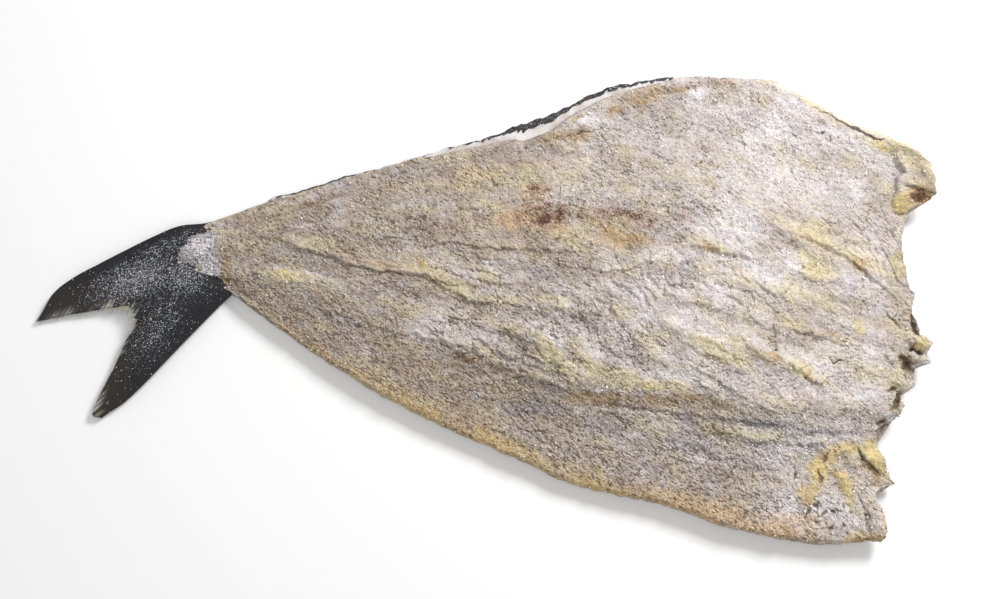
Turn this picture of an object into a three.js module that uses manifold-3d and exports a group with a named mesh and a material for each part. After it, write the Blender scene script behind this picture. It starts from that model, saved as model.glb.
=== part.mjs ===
// Salted dried saithe: a headless fish split along the belly, opened flat and dried with salt,
// flesh side up. Millimetres, +X from tail to neck, +Y towards the upper flap, +Z up, with the
// skin side resting on z = 0.

import * as THREE from "three";
import { mergeVertices } from "three/addons/utils/BufferGeometryUtils.js";
import Module from "manifold-3d";

const { clamp, lerp, smoothstep } = THREE.MathUtils;

// Long edges of the opened body, as matching stations from the tail root to the collar.
const UPPER_EDGE = [
  [-188, 56], [-106, 84], [-23, 107], [38, 127], [89, 150],
  [151, 155], [193, 151], [240, 126], [280, 109],
];
const LOWER_EDGE = [
  [-173, 8], [-104, -41], [-35, -78], [30, -107], [71, -120],
  [105, -126], [160, -145], [211, -155], [254, -154],
];
const EDGE_WAVE = { height: 1.2, pitch: 24, start: 0.7, seed: 7 };

// Torn neck: lobes that stand out from, or bite into, the straight line between the collar
// corners. Place and half width are shares of that line, counted from the upper corner.
const NECK_START = 0.8;
const NECK_LOBES = [
  { name: "collar ear", place: 0.115, half: 0.125, reach: 24 },
  { name: "nape", place: 0.5, half: 0.2, reach: 12 },
  { name: "nape tuft", place: 0.39, half: 0.03, reach: 5 },
  { name: "spine stump", place: 0.525, half: 0.045, reach: 10 },
  { name: "side tuft", place: 0.66, half: 0.025, reach: 9 },
  { name: "hollow", place: 0.735, half: 0.07, reach: -8 },
  { name: "collar spur", place: 0.85, half: 0.03, reach: 11 },
  { name: "collar notch", place: 0.885, half: 0.025, reach: -5 },
  { name: "lower corner", place: 0.965, half: 0.05, reach: 4 },
];

// Thickness of the loin along the body, as [share of the length, height] stations, and the
// belly flaps' share of it, which falls from the tail stalk to the open part of the body.
const LOIN = [[0, 6.5], [0.06, 10], [0.2, 13], [0.42, 17], [0.65, 21], [0.85, 19], [1, 13]];
const FLAP_SHARE = [[0.02, 0.9], [0.35, 0.45]];
const LOIN_REACH = 0.3;
const FLAP_REACH = 0.78;
const EDGE_THICKNESS = 3.2;
const EDGE_ROUNDING = 0.93;
const LEAST_THICKNESS = 2.6;

// The underside lies flat out to FLAT_REACH, past which the dried flaps and corners curl up.
const FLAT_REACH = 0.5;
const CURL = { upper: 7, lower: 4, steepness: 1.5, waviness: 0.25, pitch: 60, seed: 8 };
const CURL_SHARE = [[0, 0.2], [0.35, 1]];
const CORNER_CURL = { height: 5, alongStart: 0.85, acrossStart: 0.6 };

// Muscle layers: slanted ripples that fan out from the tail, steep on their lower side, bent
// and faded by noise that is stretched along them.
const RIPPLE = { height: 1.4, pitch: 19, slant: 0.12, fan: 0.5, meanHalfWidth: 110, steepness: 0.4 };
const RIPPLE_GROWTH = [[0.02, 0], [0.3, 1]];
const RIPPLE_BENDS = [
  { turn: 2.6, length: 110, width: 34, seed: 1 },
  { turn: 1, length: 45, width: 15, seed: 2 },
];
const RIPPLE_STRENGTH = { mean: 0.55, swing: 0.45, length: 70, width: 30, seed: 3 };
const RELIEF_END = 0.88;

// Deep folds: the layer on the left hand, going along the path, stands above the other one.
const FOLDS = [
  { name: "back fold", step: 2.6, width: 9, path: [[-125, 39], [-72, 22], [-45, 21], [-19, 4], [42, -4]] },
  { name: "stalk fold", step: 1.3, width: 6, path: [[-145, 47], [-127, 42], [-106, 36]] },
  { name: "upper fold", step: 1.8, width: 8, path: [[-39, 41], [8, 37], [48, 34], [74, 28]] },
  { name: "shoulder fold", step: 1.8, width: 8, path: [[134, 35], [160, 31], [200, 27]] },
  { name: "loin fold", step: 2.0, width: 8, path: [[27, -45], [60, -57], [106, -55], [139, -53]] },
  { name: "flap fold", step: 2.0, width: 8, path: [[8, -62], [21, -68], [37, -82], [73, -89]] },
  { name: "belly fold", step: 3.4, width: 11, path: [[73, -73], [125, -76], [165, -79], [248, -83]] },
  { name: "nape fold", step: 2.0, width: 8, path: [[221, 54], [240, 37], [259, 16], [272, -5]] },
  { name: "ear fold", step: 3.0, width: 9, path: [[276, 104], [272, 86], [272, 64]] },
];
const FOLD_SAMPLES = 24;
const FOLD_RISE = 0.8;
const FOLD_DIP = 0.5;
const FOLD_TAPER = 0.6;

// Collar: a hood at the upper corner and a lumpy patch of torn flesh at the lower one.
const EAR = { x: 290, y: 82, radius: 17, height: 6, lift: 3.6 };
const LUMPS = { x: 236, y: -116, radius: 34, height: 2.4, pitch: 12, seed: 5 };

// Forked tail fin: leading edges bowed out from the root to the tips, and the fork between them.
const FIN_ROOT = [[-175, 57], [-164, 14]];
const FIN_TRAILING = [
  [-301, -11], [-276, -6], [-249, -2], [-238, -2], [-233, -13],
  [-239, -24], [-246, -40], [-260, -70], [-255, -75],
];
const FIN_BOW = { upper: 8, lower: 5 };
const FIN_THICKNESS = { root: 5, middle: 2.2, end: 1.4 };
const FIN_FLOOR = { root: 0.8, middle: 4, end: 1.5 };
const FIN_CREST = { atRoot: 0.9, atFork: 0.5, height: 6 };

// Mesh counts: stations along the body, strips across its top and bottom, and the fin's grid.
const STATIONS = 60;
const TOP_STRIPS = 48;
const BOTTOM_STRIPS = 24;
const FIN_STEPS = 18;
const FIN_RAYS = 22;

// Repeatable value noise from -1 to 1 on a unit lattice.
function lattice(i, j, seed) {
  const wave = Math.sin(i * 127.1 + j * 311.7 + seed * 74.7) * 43758.5453;
  return 2 * (wave - Math.floor(wave)) - 1;
}

function noise(x, y, seed) {
  const i = Math.floor(x);
  const j = Math.floor(y);
  const across = smoothstep(x - i, 0, 1);
  const up = smoothstep(y - j, 0, 1);
  const low = lerp(lattice(i, j, seed), lattice(i + 1, j, seed), across);
  const high = lerp(lattice(i, j + 1, seed), lattice(i + 1, j + 1, seed), across);
  return lerp(low, high, up);
}

// A value that runs smoothly through [place, value] stations.
function along(stations, place) {
  let value = stations[0][1];
  for (let i = 1; i < stations.length; i += 1) {
    const [start, from] = stations[i - 1];
    const [end, to] = stations[i];
    if (place > start) value = lerp(from, to, smoothstep(place, start, end));
  }
  return value;
}

// The parabola through a fin value's root, middle and end.
function through({ root, middle, end }, share) {
  const rest = 1 - share;
  return root * rest * (1 - 2 * share) + 4 * middle * share * rest + end * share * (2 * share - 1);
}

function bell(x, y, { x: cx, y: cy, radius }) {
  return Math.exp(-((x - cx) ** 2 + (y - cy) ** 2) / radius ** 2);
}

function splineOf(points) {
  return new THREE.SplineCurve(points.map(([x, y]) => new THREE.Vector2(x, y)));
}

const upperEdge = splineOf(UPPER_EDGE);
const lowerEdge = splineOf(LOWER_EDGE);
const foldPaths = FOLDS.map(({ path }) => splineOf(path).getPoints(FOLD_SAMPLES));

function neckReach(place) {
  let reach = 0;
  for (const lobe of NECK_LOBES) {
    const offset = clamp((place - lobe.place) / lobe.half, -1, 1);
    reach += lobe.reach * Math.cos((offset * Math.PI) / 2) ** 2;
  }
  return reach;
}

// Plan position for u from the tail root to the neck and v from the lower to the upper edge.
function plan(u, v) {
  const low = lowerEdge.getPoint(u);
  const high = upperEdge.getPoint(u);
  const share = (v + 1) / 2;
  const point = low.clone().lerp(high, share);
  const wave = EDGE_WAVE.height * noise(point.x / EDGE_WAVE.pitch, Math.sign(v), EDGE_WAVE.seed);
  point.x += neckReach(1 - share) * smoothstep(u, NECK_START, 1);
  point.y += wave * smoothstep(Math.abs(v), EDGE_WAVE.start, 1);
  return { x: point.x, y: point.y, half: low.distanceTo(high) / 2 };
}

// Height of the skin side over the surface that the fish lies on.
function underside(x, y, u, v) {
  const reach = smoothstep(Math.abs(v), FLAT_REACH, 1) ** CURL.steepness;
  const wave = 1 - CURL.waviness * (1 - noise(x / CURL.pitch, v, CURL.seed));
  const curl = (v > 0 ? CURL.upper : CURL.lower) * wave * along(CURL_SHARE, u);
  const nearNeck = smoothstep(u, CORNER_CURL.alongStart, 1);
  const nearEdge = smoothstep(Math.abs(v), CORNER_CURL.acrossStart, 1);
  return reach * curl + CORNER_CURL.height * nearNeck * nearEdge + EAR.lift * bell(x, y, EAR);
}

function thickness(u, v) {
  const towardsFlap = smoothstep(Math.abs(v), LOIN_REACH, FLAP_REACH);
  const full = along(LOIN, u) * lerp(1, along(FLAP_SHARE, u), towardsFlap);
  const rim = clamp((Math.abs(v) - EDGE_ROUNDING) / (1 - EDGE_ROUNDING), 0, 1);
  return lerp(EDGE_THICKNESS, full, Math.sqrt(1 - rim ** 2));
}

function ripples(x, u, v, half) {
  const across = v * lerp(half, RIPPLE.meanHalfWidth, RIPPLE.fan);
  const grain = ({ length, width, seed }) => noise(x / length, across / width, seed);
  let phase = (2 * Math.PI * (across + RIPPLE.slant * x)) / RIPPLE.pitch;
  for (const bend of RIPPLE_BENDS) phase += bend.turn * grain(bend);
  const wave = Math.sin(phase) + RIPPLE.steepness * Math.sin(2 * phase);
  const strength = RIPPLE_STRENGTH.mean + RIPPLE_STRENGTH.swing * grain(RIPPLE_STRENGTH);
  return RIPPLE.height * strength * wave * along(RIPPLE_GROWTH, u);
}

// A step along each fold's path that eases off away from it and towards the path's ends.
function folds(x, y) {
  let height = 0;
  FOLDS.forEach(({ step, width }, index) => {
    const points = foldPaths[index];
    let nearest = 0;
    let least = Infinity;
    points.forEach((point, i) => {
      const gap = (x - point.x) ** 2 + (y - point.y) ** 2;
      if (gap < least) {
        least = gap;
        nearest = i;
      }
    });
    const before = points[Math.max(nearest - 1, 0)];
    const after = points[Math.min(nearest + 1, FOLD_SAMPLES)];
    const { x: footX, y: footY } = points[nearest];
    const side = (after.x - before.x) * (y - footY) - (after.y - before.y) * (x - footX);
    const ends = Math.sin((Math.PI * (nearest + 0.5)) / (FOLD_SAMPLES + 1)) ** FOLD_TAPER;
    const fall = Math.exp(-Math.sqrt(least) / width);
    height += step * ends * fall * (side > 0 ? FOLD_RISE : -FOLD_DIP);
  });
  return height;
}

function flesh(x, y, u, v, half) {
  const lumps = LUMPS.height * bell(x, y, LUMPS) * noise(x / LUMPS.pitch, y / LUMPS.pitch, LUMPS.seed);
  const relief = ripples(x, u, v, half) + folds(x, y) + lumps + EAR.height * bell(x, y, EAR);
  const height = thickness(u, v) + relief * (1 - smoothstep(Math.abs(v), RELIEF_END, 1));
  return underside(x, y, u, v) + Math.max(height, LEAST_THICKNESS);
}

function trianglesToGeometry(points, triangles) {
  const geometry = new THREE.BufferGeometry();
  geometry.setAttribute("position", new THREE.Float32BufferAttribute(points.flat(), 3));
  geometry.setIndex(triangles.flat());
  return geometry;
}

// Body: closed rings of flesh and skin points, one at each station, with both ends capped.
function bodyGeometry() {
  const points = [];
  const triangles = [];
  const ring = TOP_STRIPS + BOTTOM_STRIPS + 2;
  for (let i = 0; i <= STATIONS; i += 1) {
    const u = i / STATIONS;
    for (let j = 0; j <= TOP_STRIPS; j += 1) {
      const v = (2 * j) / TOP_STRIPS - 1;
      const { x, y, half } = plan(u, v);
      points.push([x, y, flesh(x, y, u, v, half)]);
    }
    for (let j = BOTTOM_STRIPS; j >= 0; j -= 1) {
      const v = (2 * j) / BOTTOM_STRIPS - 1;
      const { x, y } = plan(u, v);
      points.push([x, y, underside(x, y, u, v)]);
    }
  }
  for (let i = 0; i < STATIONS; i += 1) {
    for (let j = 0; j < ring; j += 1) {
      const a = i * ring + j;
      const b = i * ring + ((j + 1) % ring);
      triangles.push([a, a + ring, b], [b, a + ring, b + ring]);
    }
  }
  const perStrip = TOP_STRIPS / BOTTOM_STRIPS;
  for (const [start, turn] of [[0, false], [STATIONS * ring, true]]) {
    for (let j = 0; j < TOP_STRIPS; j += 1) {
      const strip = Math.floor(j / perStrip);
      const below = start + ring - 1 - strip;
      const faces = [[start + j, start + j + 1, below]];
      if (j % perStrip === perStrip - 1) faces.push([start + j + 1, below - 1, below]);
      faces.forEach(([a, b, c]) => triangles.push(turn ? [a, c, b] : [a, b, c]));
    }
  }
  return trianglesToGeometry(points, triangles);
}

// Fin: rays that fan out from the root line to the forked trailing edge, as a thin closed plate.
function finPoint(trailing, share, ray) {
  const [[rootX, rootY], [endX, endY]] = FIN_ROOT;
  const root = new THREE.Vector2(lerp(rootX, endX, ray), lerp(rootY, endY, ray));
  const tip = trailing.getPoint(ray);
  const chord = tip.clone().sub(root);
  const outward = new THREE.Vector2(chord.y, -chord.x).normalize();
  const bow = lerp(FIN_BOW.upper, -FIN_BOW.lower, ray) * 4 * share * (1 - share);
  const point = root.lerp(tip, share).addScaledVector(outward, bow);
  const crest = lerp(FIN_CREST.atRoot, FIN_CREST.atFork, share);
  const roof = ray < crest ? ray / crest : (1 - ray) / (1 - crest);
  const floor = through(FIN_FLOOR, share) + FIN_CREST.height * roof * share;
  return { x: point.x, y: point.y, floor, thick: through(FIN_THICKNESS, share) };
}

function finGeometry() {
  const trailing = splineOf(FIN_TRAILING);
  const points = [];
  const triangles = [];
  const row = FIN_RAYS + 1;
  const layer = row * (FIN_STEPS + 1);
  for (const side of [0, 1]) {
    for (let i = 0; i <= FIN_STEPS; i += 1) {
      for (let j = 0; j <= FIN_RAYS; j += 1) {
        const { x, y, floor, thick } = finPoint(trailing, i / FIN_STEPS, j / FIN_RAYS);
        points.push([x, y, floor + side * thick]);
      }
    }
  }
  for (let i = 0; i < FIN_STEPS; i += 1) {
    for (let j = 0; j < FIN_RAYS; j += 1) {
      const a = i * row + j;
      const b = a + row;
      triangles.push([a, a + 1, b], [b, a + 1, b + 1]);
      triangles.push([layer + a, layer + b, layer + a + 1], [layer + b, layer + b + 1, layer + a + 1]);
    }
  }
  const rim = [];
  for (let j = 0; j < FIN_RAYS; j += 1) rim.push(j);
  for (let i = 0; i < FIN_STEPS; i += 1) rim.push(i * row + FIN_RAYS);
  for (let j = FIN_RAYS; j > 0; j -= 1) rim.push(FIN_STEPS * row + j);
  for (let i = FIN_STEPS; i > 0; i -= 1) rim.push(i * row);
  rim.forEach((a, index) => {
    const b = rim[(index + 1) % rim.length];
    triangles.push([a, layer + a, b], [b, layer + a, layer + b]);
  });
  return trianglesToGeometry(points, triangles);
}

const wasm = await Module();
wasm.setup();

function toSolid(geometry) {
  const merged = mergeVertices(geometry);
  const vertProperties = new Float32Array(merged.attributes.position.array);
  const triVerts = new Uint32Array(merged.index.array);
  return new wasm.Manifold(new wasm.Mesh({ numProp: 3, vertProperties, triVerts }));
}

// The finished solid, set with the middle of its bounding box's base on the origin.
function toGeometry(solid) {
  const { vertProperties, triVerts } = solid.getMesh();
  const geometry = new THREE.BufferGeometry();
  geometry.setAttribute("position", new THREE.BufferAttribute(new Float32Array(vertProperties), 3));
  geometry.setIndex(new THREE.BufferAttribute(new Uint32Array(triVerts), 1));
  geometry.computeBoundingBox();
  const { min, max } = geometry.boundingBox;
  geometry.translate(-(min.x + max.x) / 2, -(min.y + max.y) / 2, -min.z);
  geometry.computeVertexNormals();
  return geometry;
}

const driedFlesh = new THREE.MeshStandardMaterial({ color: 0xc9bba8, roughness: 0.92, metalness: 0 });
const fish = new THREE.Mesh(toGeometry(toSolid(bodyGeometry()).add(toSolid(finGeometry()))), driedFlesh);
fish.name = "split_saithe";

const saithe = new THREE.Group();
saithe.add(fish);

export default saithe;
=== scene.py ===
"""Salted dried saithe: the split fish's flesh, skin, tail fin and salt, built around its solid."""

import math
from types import SimpleNamespace

import bpy
import numpy as np
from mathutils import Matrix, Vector


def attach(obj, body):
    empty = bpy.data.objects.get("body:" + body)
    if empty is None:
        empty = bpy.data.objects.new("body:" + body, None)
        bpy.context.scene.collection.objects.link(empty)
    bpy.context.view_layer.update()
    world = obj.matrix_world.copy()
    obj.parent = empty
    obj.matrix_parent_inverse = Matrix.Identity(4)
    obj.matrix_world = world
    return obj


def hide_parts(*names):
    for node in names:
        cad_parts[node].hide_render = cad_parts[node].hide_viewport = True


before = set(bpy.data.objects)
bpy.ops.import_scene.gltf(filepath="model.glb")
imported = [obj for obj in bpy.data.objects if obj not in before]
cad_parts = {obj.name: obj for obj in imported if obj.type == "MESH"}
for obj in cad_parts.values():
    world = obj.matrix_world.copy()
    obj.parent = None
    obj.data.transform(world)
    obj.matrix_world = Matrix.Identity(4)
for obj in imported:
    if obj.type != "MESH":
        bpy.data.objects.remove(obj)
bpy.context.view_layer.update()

bl_info = {
    "name": "Salted Dried Saithe",
    "version": (1, 0, 0),
    "blender": (4, 5, 0),
    "location": "View3D > Sidebar > Saithe",
    "description": "Builds a split, salted and dried fish with its skin, tail fin and salt grains",
    "category": "Add Mesh",
}

NODE = "split_saithe"
BODY = "root"
MM = 0.001

# Long edges of the opened body in millimetres, as matching stations from tail root to collar.
UPPER_EDGE = [
    (-188, 56), (-106, 84), (-23, 107), (38, 127), (89, 150),
    (151, 155), (193, 151), (240, 126), (280, 109),
]
LOWER_EDGE = [
    (-173, 8), (-104, -41), (-35, -78), (30, -107.5), (71, -123),
    (105, -129.5), (160, -148.5), (211, -156.5), (254, -155),
]
EDGE_WAVE = {"height": 1.2, "pitch": 24, "start": 0.7, "seed": 7}
EDGE_TATTER = {"height": 0.6, "pitch": 5, "start": 0.94, "seed": 17}

# Torn ends: how far they stand out past the line between their corners, as shares of that line from
# its upper corner and reach.
NECK_START = 0.8
NECK_EDGE = [
    (0, -2), (0.022, 1), (0.035, 7.5), (0.07, 14), (0.113, 17.5), (0.135, 19.5), (0.147, 17.5),
    (0.158, 13.6), (0.168, 7.2), (0.178, 3.3), (0.21, 1.6), (0.25, 1), (0.3, 1.8), (0.3266, 3.7),
    (0.369, 6.8), (0.392, 11), (0.418, 9.7), (0.436, 10.1), (0.461, 14.1), (0.49, 16.4), (0.4975, 20.8),
    (0.512, 23), (0.527, 22.6), (0.538, 21.4), (0.552, 23.4), (0.563, 24), (0.5705, 14.6), (0.598, 13),
    (0.619, 14.3), (0.632, 11), (0.638, 5.2), (0.652, 5.8), (0.668, 8.5), (0.684, 7), (0.7, 2.5),
    (0.716, -5), (0.728, -8.4), (0.745, -8.8), (0.767, -6.6), (0.798, -1.6), (0.823, 0.4), (0.843, 3),
    (0.859, 6.2), (0.868, -3.6), (0.88, -5.6), (0.9, -4.6), (0.922, -1.6), (0.953, 1.5), (0.985, 2),
    (1, 0),
]
NECK_TATTER = {"height": 1.1, "pitch": 0.018, "start": 0.95, "seed": 18}
TAIL_END = 0.07
TAIL_EDGE = [
    (0, 0), (0.125, -8), (0.27, -16), (0.4, -24), (0.52, -27), (0.62, -26), (0.68, -21), (0.72, -8),
    (0.78, -4.5), (0.9, -3), (1, 0),
]
TAIL_TATTER = {"height": 1.2, "pitch": 0.045, "seed": 19}

# Thickness of the loin along the body and the flaps' share of it, as (share, value) stations.
LOIN = [(0, 6.5), (0.06, 10), (0.2, 13), (0.42, 17), (0.65, 21), (0.85, 19), (1, 13)]
FLAP_SHARE = [(0.02, 0.9), (0.35, 0.45)]
LOIN_REACH = 0.3
FLAP_REACH = 0.78

# The underside lies flat out to FLAT_REACH, past which the dried flaps and corners curl up.
FLAT_REACH = 0.5
CURL = {"upper": 7, "lower": 4, "steepness": 1.5, "waviness": 0.25, "pitch": 60, "seed": 8}
CURL_SHARE = [(0, 0.2), (0.35, 1)]
CORNER_CURL = {"height": 5, "along": 0.85, "across": 0.6}

# Flesh margin in from the upper edge, where the dark fringe shows past it, and the thin strip
# beside the tail stalk that the thick flesh stops short of.
MARGIN = [
    (0.05, 0.8), (0.08, 1.2), (0.2, 0.9), (0.25, 3.6), (0.295, 5.2), (0.32, 7), (0.348, 11.5),
    (0.379, 11), (0.415, 7), (0.452, 7.5), (0.49, 6.5), (0.523, 4.5), (0.56, 3), (0.58, 0.8),
]
STRIP = [(0, 6), (0.05, 10), (0.12, 11), (0.19, 8), (0.24, 0)]
FRINGE = [
    (0.06, 0), (0.075, 1), (0.13, 0.9), (0.2, 0.5), (0.25, 0.8), (0.295, 1.3), (0.32, 2.4), (0.348, 5),
    (0.379, 4.8), (0.415, 3), (0.5, 2.8), (0.523, 2.3), (0.56, 2), (0.575, 0),
]

# Muscle ripples: the solid's pitch, slant, fan and bends, with a growth of their own along the body.
RIPPLE = {"pitch": 19, "slant": 0.12, "fan": 0.5, "mean_half_width": 110, "steepness": 0.4, "trace": 0.12}
RIPPLE_GROWTH = [(0.02, 0), (0.2, 1)]
RIPPLE_BENDS = [(2.6, 110, 34, 1), (1, 45, 15, 2)]
RIPPLE_STRENGTH = (0.55, 0.45, 70, 30, 3)

# Soft patches, as centre x and y, half length, half width and strength: where the flesh is rippled,
# where its crust is crazed or clotted, and the faint marks that ribs left across it.
RIPPLED = [
    (-20, 5, 130, 34, 0.7), (60, -35, 110, 40, 1.0), (165, -25, 100, 50, 1.0), (225, 35, 60, 40, 0.9),
    (230, -75, 60, 22, 0.9), (120, 45, 60, 16, 0.6),
]
CRAZED = [
    (140, 100, 52, 34, 1.0), (240, 55, 30, 36, 1.0), (-60, 30, 100, 45, 0.7), (60, -20, 100, 50, 0.8),
    (190, -20, 80, 50, 0.7), (180, -100, 60, 28, 0.6), (222, -137, 26, 16, 1.4), (60, 55, 60, 20, 0.8),
    (274, -36, 12, 48, 1.5),
]
CLOTTED = [
    (222, -137, 28, 15, 1.3), (274, -36, 12, 48, 1.2), (120, -97, 70, 20, 0.55), (-100, 10, 90, 45, 0.35),
    (20, -70, 60, 25, 0.4),
]
RIBS = {"height": 0.25, "pitch": 9.3, "slant": 0.15, "spots": [(-14, 60, 46, 18, 1.0)]}

# Folds: step height, width, darkness of the painted shade in the crease, and path. The left hand stands
# above the right.
FOLDS = [
    (2.4, 9, 0.9, [
        (-148, 45), (-127, 38), (-105, 31), (-80, 23), (-50, 20), (-36, 16), (-20, 5), (0, 0), (42, -4.5),
    ]),
    (1.6, 8, 0.9, [(-39, 41.5), (-20, 40), (0, 37), (25, 35.5), (58, 34)]),
    (1.4, 6, 0.6, [(55, 29), (66, 22), (78, 21), (92, 21), (108, 28)]),
    (1.6, 7, 0.7, [(132, 37.5), (145, 34.5), (160, 30), (182, 27)]),
    (2.0, 8, 0.9, [(192, 49), (208, 42), (222, 36), (238, 28), (250, 19), (262, 9), (273, -3)]),
    (1.3, 6, 0.6, [(199, 22), (208, 17), (218, 14), (230, 13.5)]),
    (1.2, 6, 0.6, [(126, -1), (140, -2.5), (151, -4.5), (164, -1.5)]),
    (1.5, 7, 0.7, [(186, -15), (205, -20), (222, -24), (240, -31)]),
    (1.4, 6, 0.7, [(190, -38), (203, -46), (217, -56)]),
    (1.4, 7, 0.6, [(126, -26), (140, -34), (155, -40), (167, -48)]),
    (1.8, 8, 0.9, [(8, -50), (25, -48.5), (40, -53), (58, -61)]),
    (1.3, 6, 0.7, [(60, -66), (85, -67), (110, -70), (140, -74), (175, -79), (210, -84), (246, -84)]),
    (1.4, 6, 0.8, [(112, -84), (140, -86), (160, -86.5), (178, -91), (200, -92), (219, -92.5)]),
    (1.6, 6, 0.6, [(24, -87), (18, -77), (13, -68), (3, -62)]),
    (3.4, 8, 0.8, [(276, 105), (271.5, 97), (276, 89), (271, 81), (269, 62)]),
    (2.4, 6, 0.7, [(277, 79), (286, 77), (298, 72)]),
    (1.2, 3, 1.3, [(216, 133.5), (229, 127.4), (239, 121.4), (248, 116.1), (257, 112), (266, 109.7)]),
    (1.8, 6, 0.9, [(239, -93), (244.5, -101.5), (250, -107.5), (257, -113)]),
    (1.4, 5, 0.5, [(239, -123), (242, -131), (245, -141), (249, -151)]),
    (1.3, 7, 0.4, [(-110, -4), (-70, -16), (-30, -26), (5, -36)]),
    (1.2, 6, 0.4, [(-60, 56), (-20, 62), (20, 69), (50, 70)]),
]
# Ridges: height, half width and path, with the lit side, where a highlight is painted, on the left hand, and
# painted shade at the foot on the right.
RIDGES = [
    (2.4, 6.0, [(8, -13), (22, -18), (34, -25), (45, -36), (56, -46), (75, -51), (105, -54), (132, -57)]),
    (2.2, 5.5, [(52, -17), (60, -30), (68, -37), (80, -43), (98, -46)]),
    (1.5, 5.0, [(84, -6), (95, -20), (106, -33), (122, -43)]),
    (1.4, 5.0, [(112, -12), (130, -22), (148, -30), (163, -38)]),
    (1.4, 5.0, [(152, -22), (170, -29), (187, -36), (207, -47)]),
    (1.2, 6.0, [(150, 16), (175, 12), (200, 6), (225, 0)]),
    (1.2, 5.0, [(-150, 22), (-136, 19), (-118, 17), (-100, 10)]),
    (1.2, 6.0, [(-70, 2), (-45, -6), (-25, -16)]),
    (1.0, 5.0, [(215, -62), (230, -66), (245, -68)]),
    (1.2, 5.0, [(170, -64), (190, -66), (205, -68)]),
    (3.0, 4.5, [(264, 107), (276, 105), (286, 98), (292, 88), (296, 76)]),
]
# Thin cracks: darkness of their painted shade, half width and path.
CRACKS = [
    (0.9, 0.6, [(276, 79), (284, 77), (292, 74), (298, 72)]),
    (1.2, 0.6, [(219, 131.6), (229, 127), (239, 121), (248, 115.7), (257, 111.6), (264, 109.6)]),
    (0.8, 0.6, [(269, 62), (275, 60), (284, 61)]),
    (1.3, 0.9, [(213.5, -108.5), (215, -112), (217, -116.5)]),
    (0.9, 0.8, [(222, -97), (220, -101), (217.5, -105)]),
    (1.1, 0.7, [(240, -94.5), (243, -99.5), (246.5, -104), (252, -108.5), (257, -113)]),
    (0.9, 0.7, [(238, -122), (241, -129), (245, -137), (249, -146)]),
    (0.9, 0.7, [(279, 73), (283, 68.5), (289, 67)]),
    (0.8, 0.6, [(284, 76), (288, 72), (294, 70)]),
    (0.8, 0.8, [(266, 8), (272, 2), (277, -3)]),
    (0.9, 0.9, [(259, -4), (266, -12), (271, -17)]),
    (1.0, 0.9, [(277, -6), (279, -12), (281, -20)]),
    (0.9, 0.8, [(258, -34), (263, -39), (266, -43)]),
    (0.9, 0.8, [(262, -55), (267, -60), (264, -66)]),
    (1.0, 0.55, [(-29, -6), (-24, -10), (-18, -11), (-12, -10.5), (-5, -12)]),
    (0.7, 0.45, [(-118, 17), (-110, 14), (-103, 12)]),
    (0.7, 0.45, [(-82, 9), (-75, 7), (-67, 3.5)]),
    (0.8, 0.45, [(-61, 8.5), (-56, 6), (-52, 4.5)]),
    (0.8, 0.5, [(87, -14), (92, -22), (97, -27), (107, -38)]),
    (0.9, 0.5, [(95, -19), (97, -20.5), (100, -23)]),
    (1.0, 0.6, [(6, -55), (9, -58.5), (14, -60.5)]),
    (0.7, 0.5, [(-22, -33.5), (-12, -38), (-4, -40)]),
    (1.0, 0.5, [(110, -38), (113, -40), (116, -43)]),
    (1.0, 0.5, [(159, -44), (162, -46.5), (166, -48)]),
    (0.9, 0.5, [(182, -26), (184, -31), (190, -32)]),
    (1.1, 0.7, [(222, -36), (225, -40), (229, -38), (233, -40)]),
    (0.9, 0.45, [(237, 58), (243, 52), (251, 42)]),
    (0.9, 0.45, [(219, 58), (223, 54), (227, 49)]),
    (0.8, 0.45, [(240, 50), (246, 46), (252, 40)]),
    (0.8, 0.45, [(193, 68), (197, 65), (202, 61)]),
    (0.7, 0.5, [(120, 69), (130, 70), (140, 64), (149, 59)]),
    (0.9, 0.6, [(60, -93), (75, -95), (86, -98)]),
    (0.9, 0.6, [(68, -71), (80, -73), (88, -78), (90, -85)]),
    (1.0, 0.7, [(29, -83), (34, -84), (40, -86)]),
    (1.0, 0.7, [(18, -79), (20, -82), (23, -84)]),
    (0.8, 0.6, [(42, 111), (55, 114), (70, 117), (80, 120)]),
    (0.8, 0.5, [(121, -101), (128, -103), (134, -104)]),
    (0.8, 0.5, [(161, -111), (163, -115), (166, -118)]),
    (0.9, 0.6, [(183, -131), (186, -134), (189, -136)]),
    (0.9, 0.6, [(199, -106), (200, -110), (199, -114)]),
]

# How many points the body's edges are measured at.
EDGE_SAMPLES = 400

# How folds, ridges and cracks run along their paths: how far they reach, how their ends taper, and where
# the crease and the pale lip lie beside a fold.
PATH_SAMPLES = 32
FOLD = {
    "rise": 0.8, "dip": 0.5, "taper": 0.6, "reach": 5, "edge": 0.6, "fade": 3, "full_step": 2,
    "crease_at": -0.4, "crease_width": 0.7, "lip_at": 3, "lip_width": 4.5, "lip_from": -0.3,
}
RIDGE = {"taper": 0.5, "reach": 3, "foot_width": 0.6}
CRACK = {"taper": 0.4, "reach": 6}

# The way in degrees that the short dark pits of the crust lie, and how steep knobs and holes are.
SPECK_TURN = -35
BUMP_STEEPNESS = 1.5

# The raised ear and lumpy collar of the neck, its tears, and the rolled upper edge beside it.
EAR = {"x": 290, "y": 82, "radius": 17, "height": 6, "lift": 3.6, "cover": 1.6}
LUMPS = {"x": 231, "y": -113, "radius": 34, "height": 2.4, "fine": 1.3}
TEAR = {"along": (0.93, 0.99), "down": 0.53, "half_width": 0.18, "strength": 0.7}
ROLL = {"along": (0.72, 0.8), "width": 6}

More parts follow.
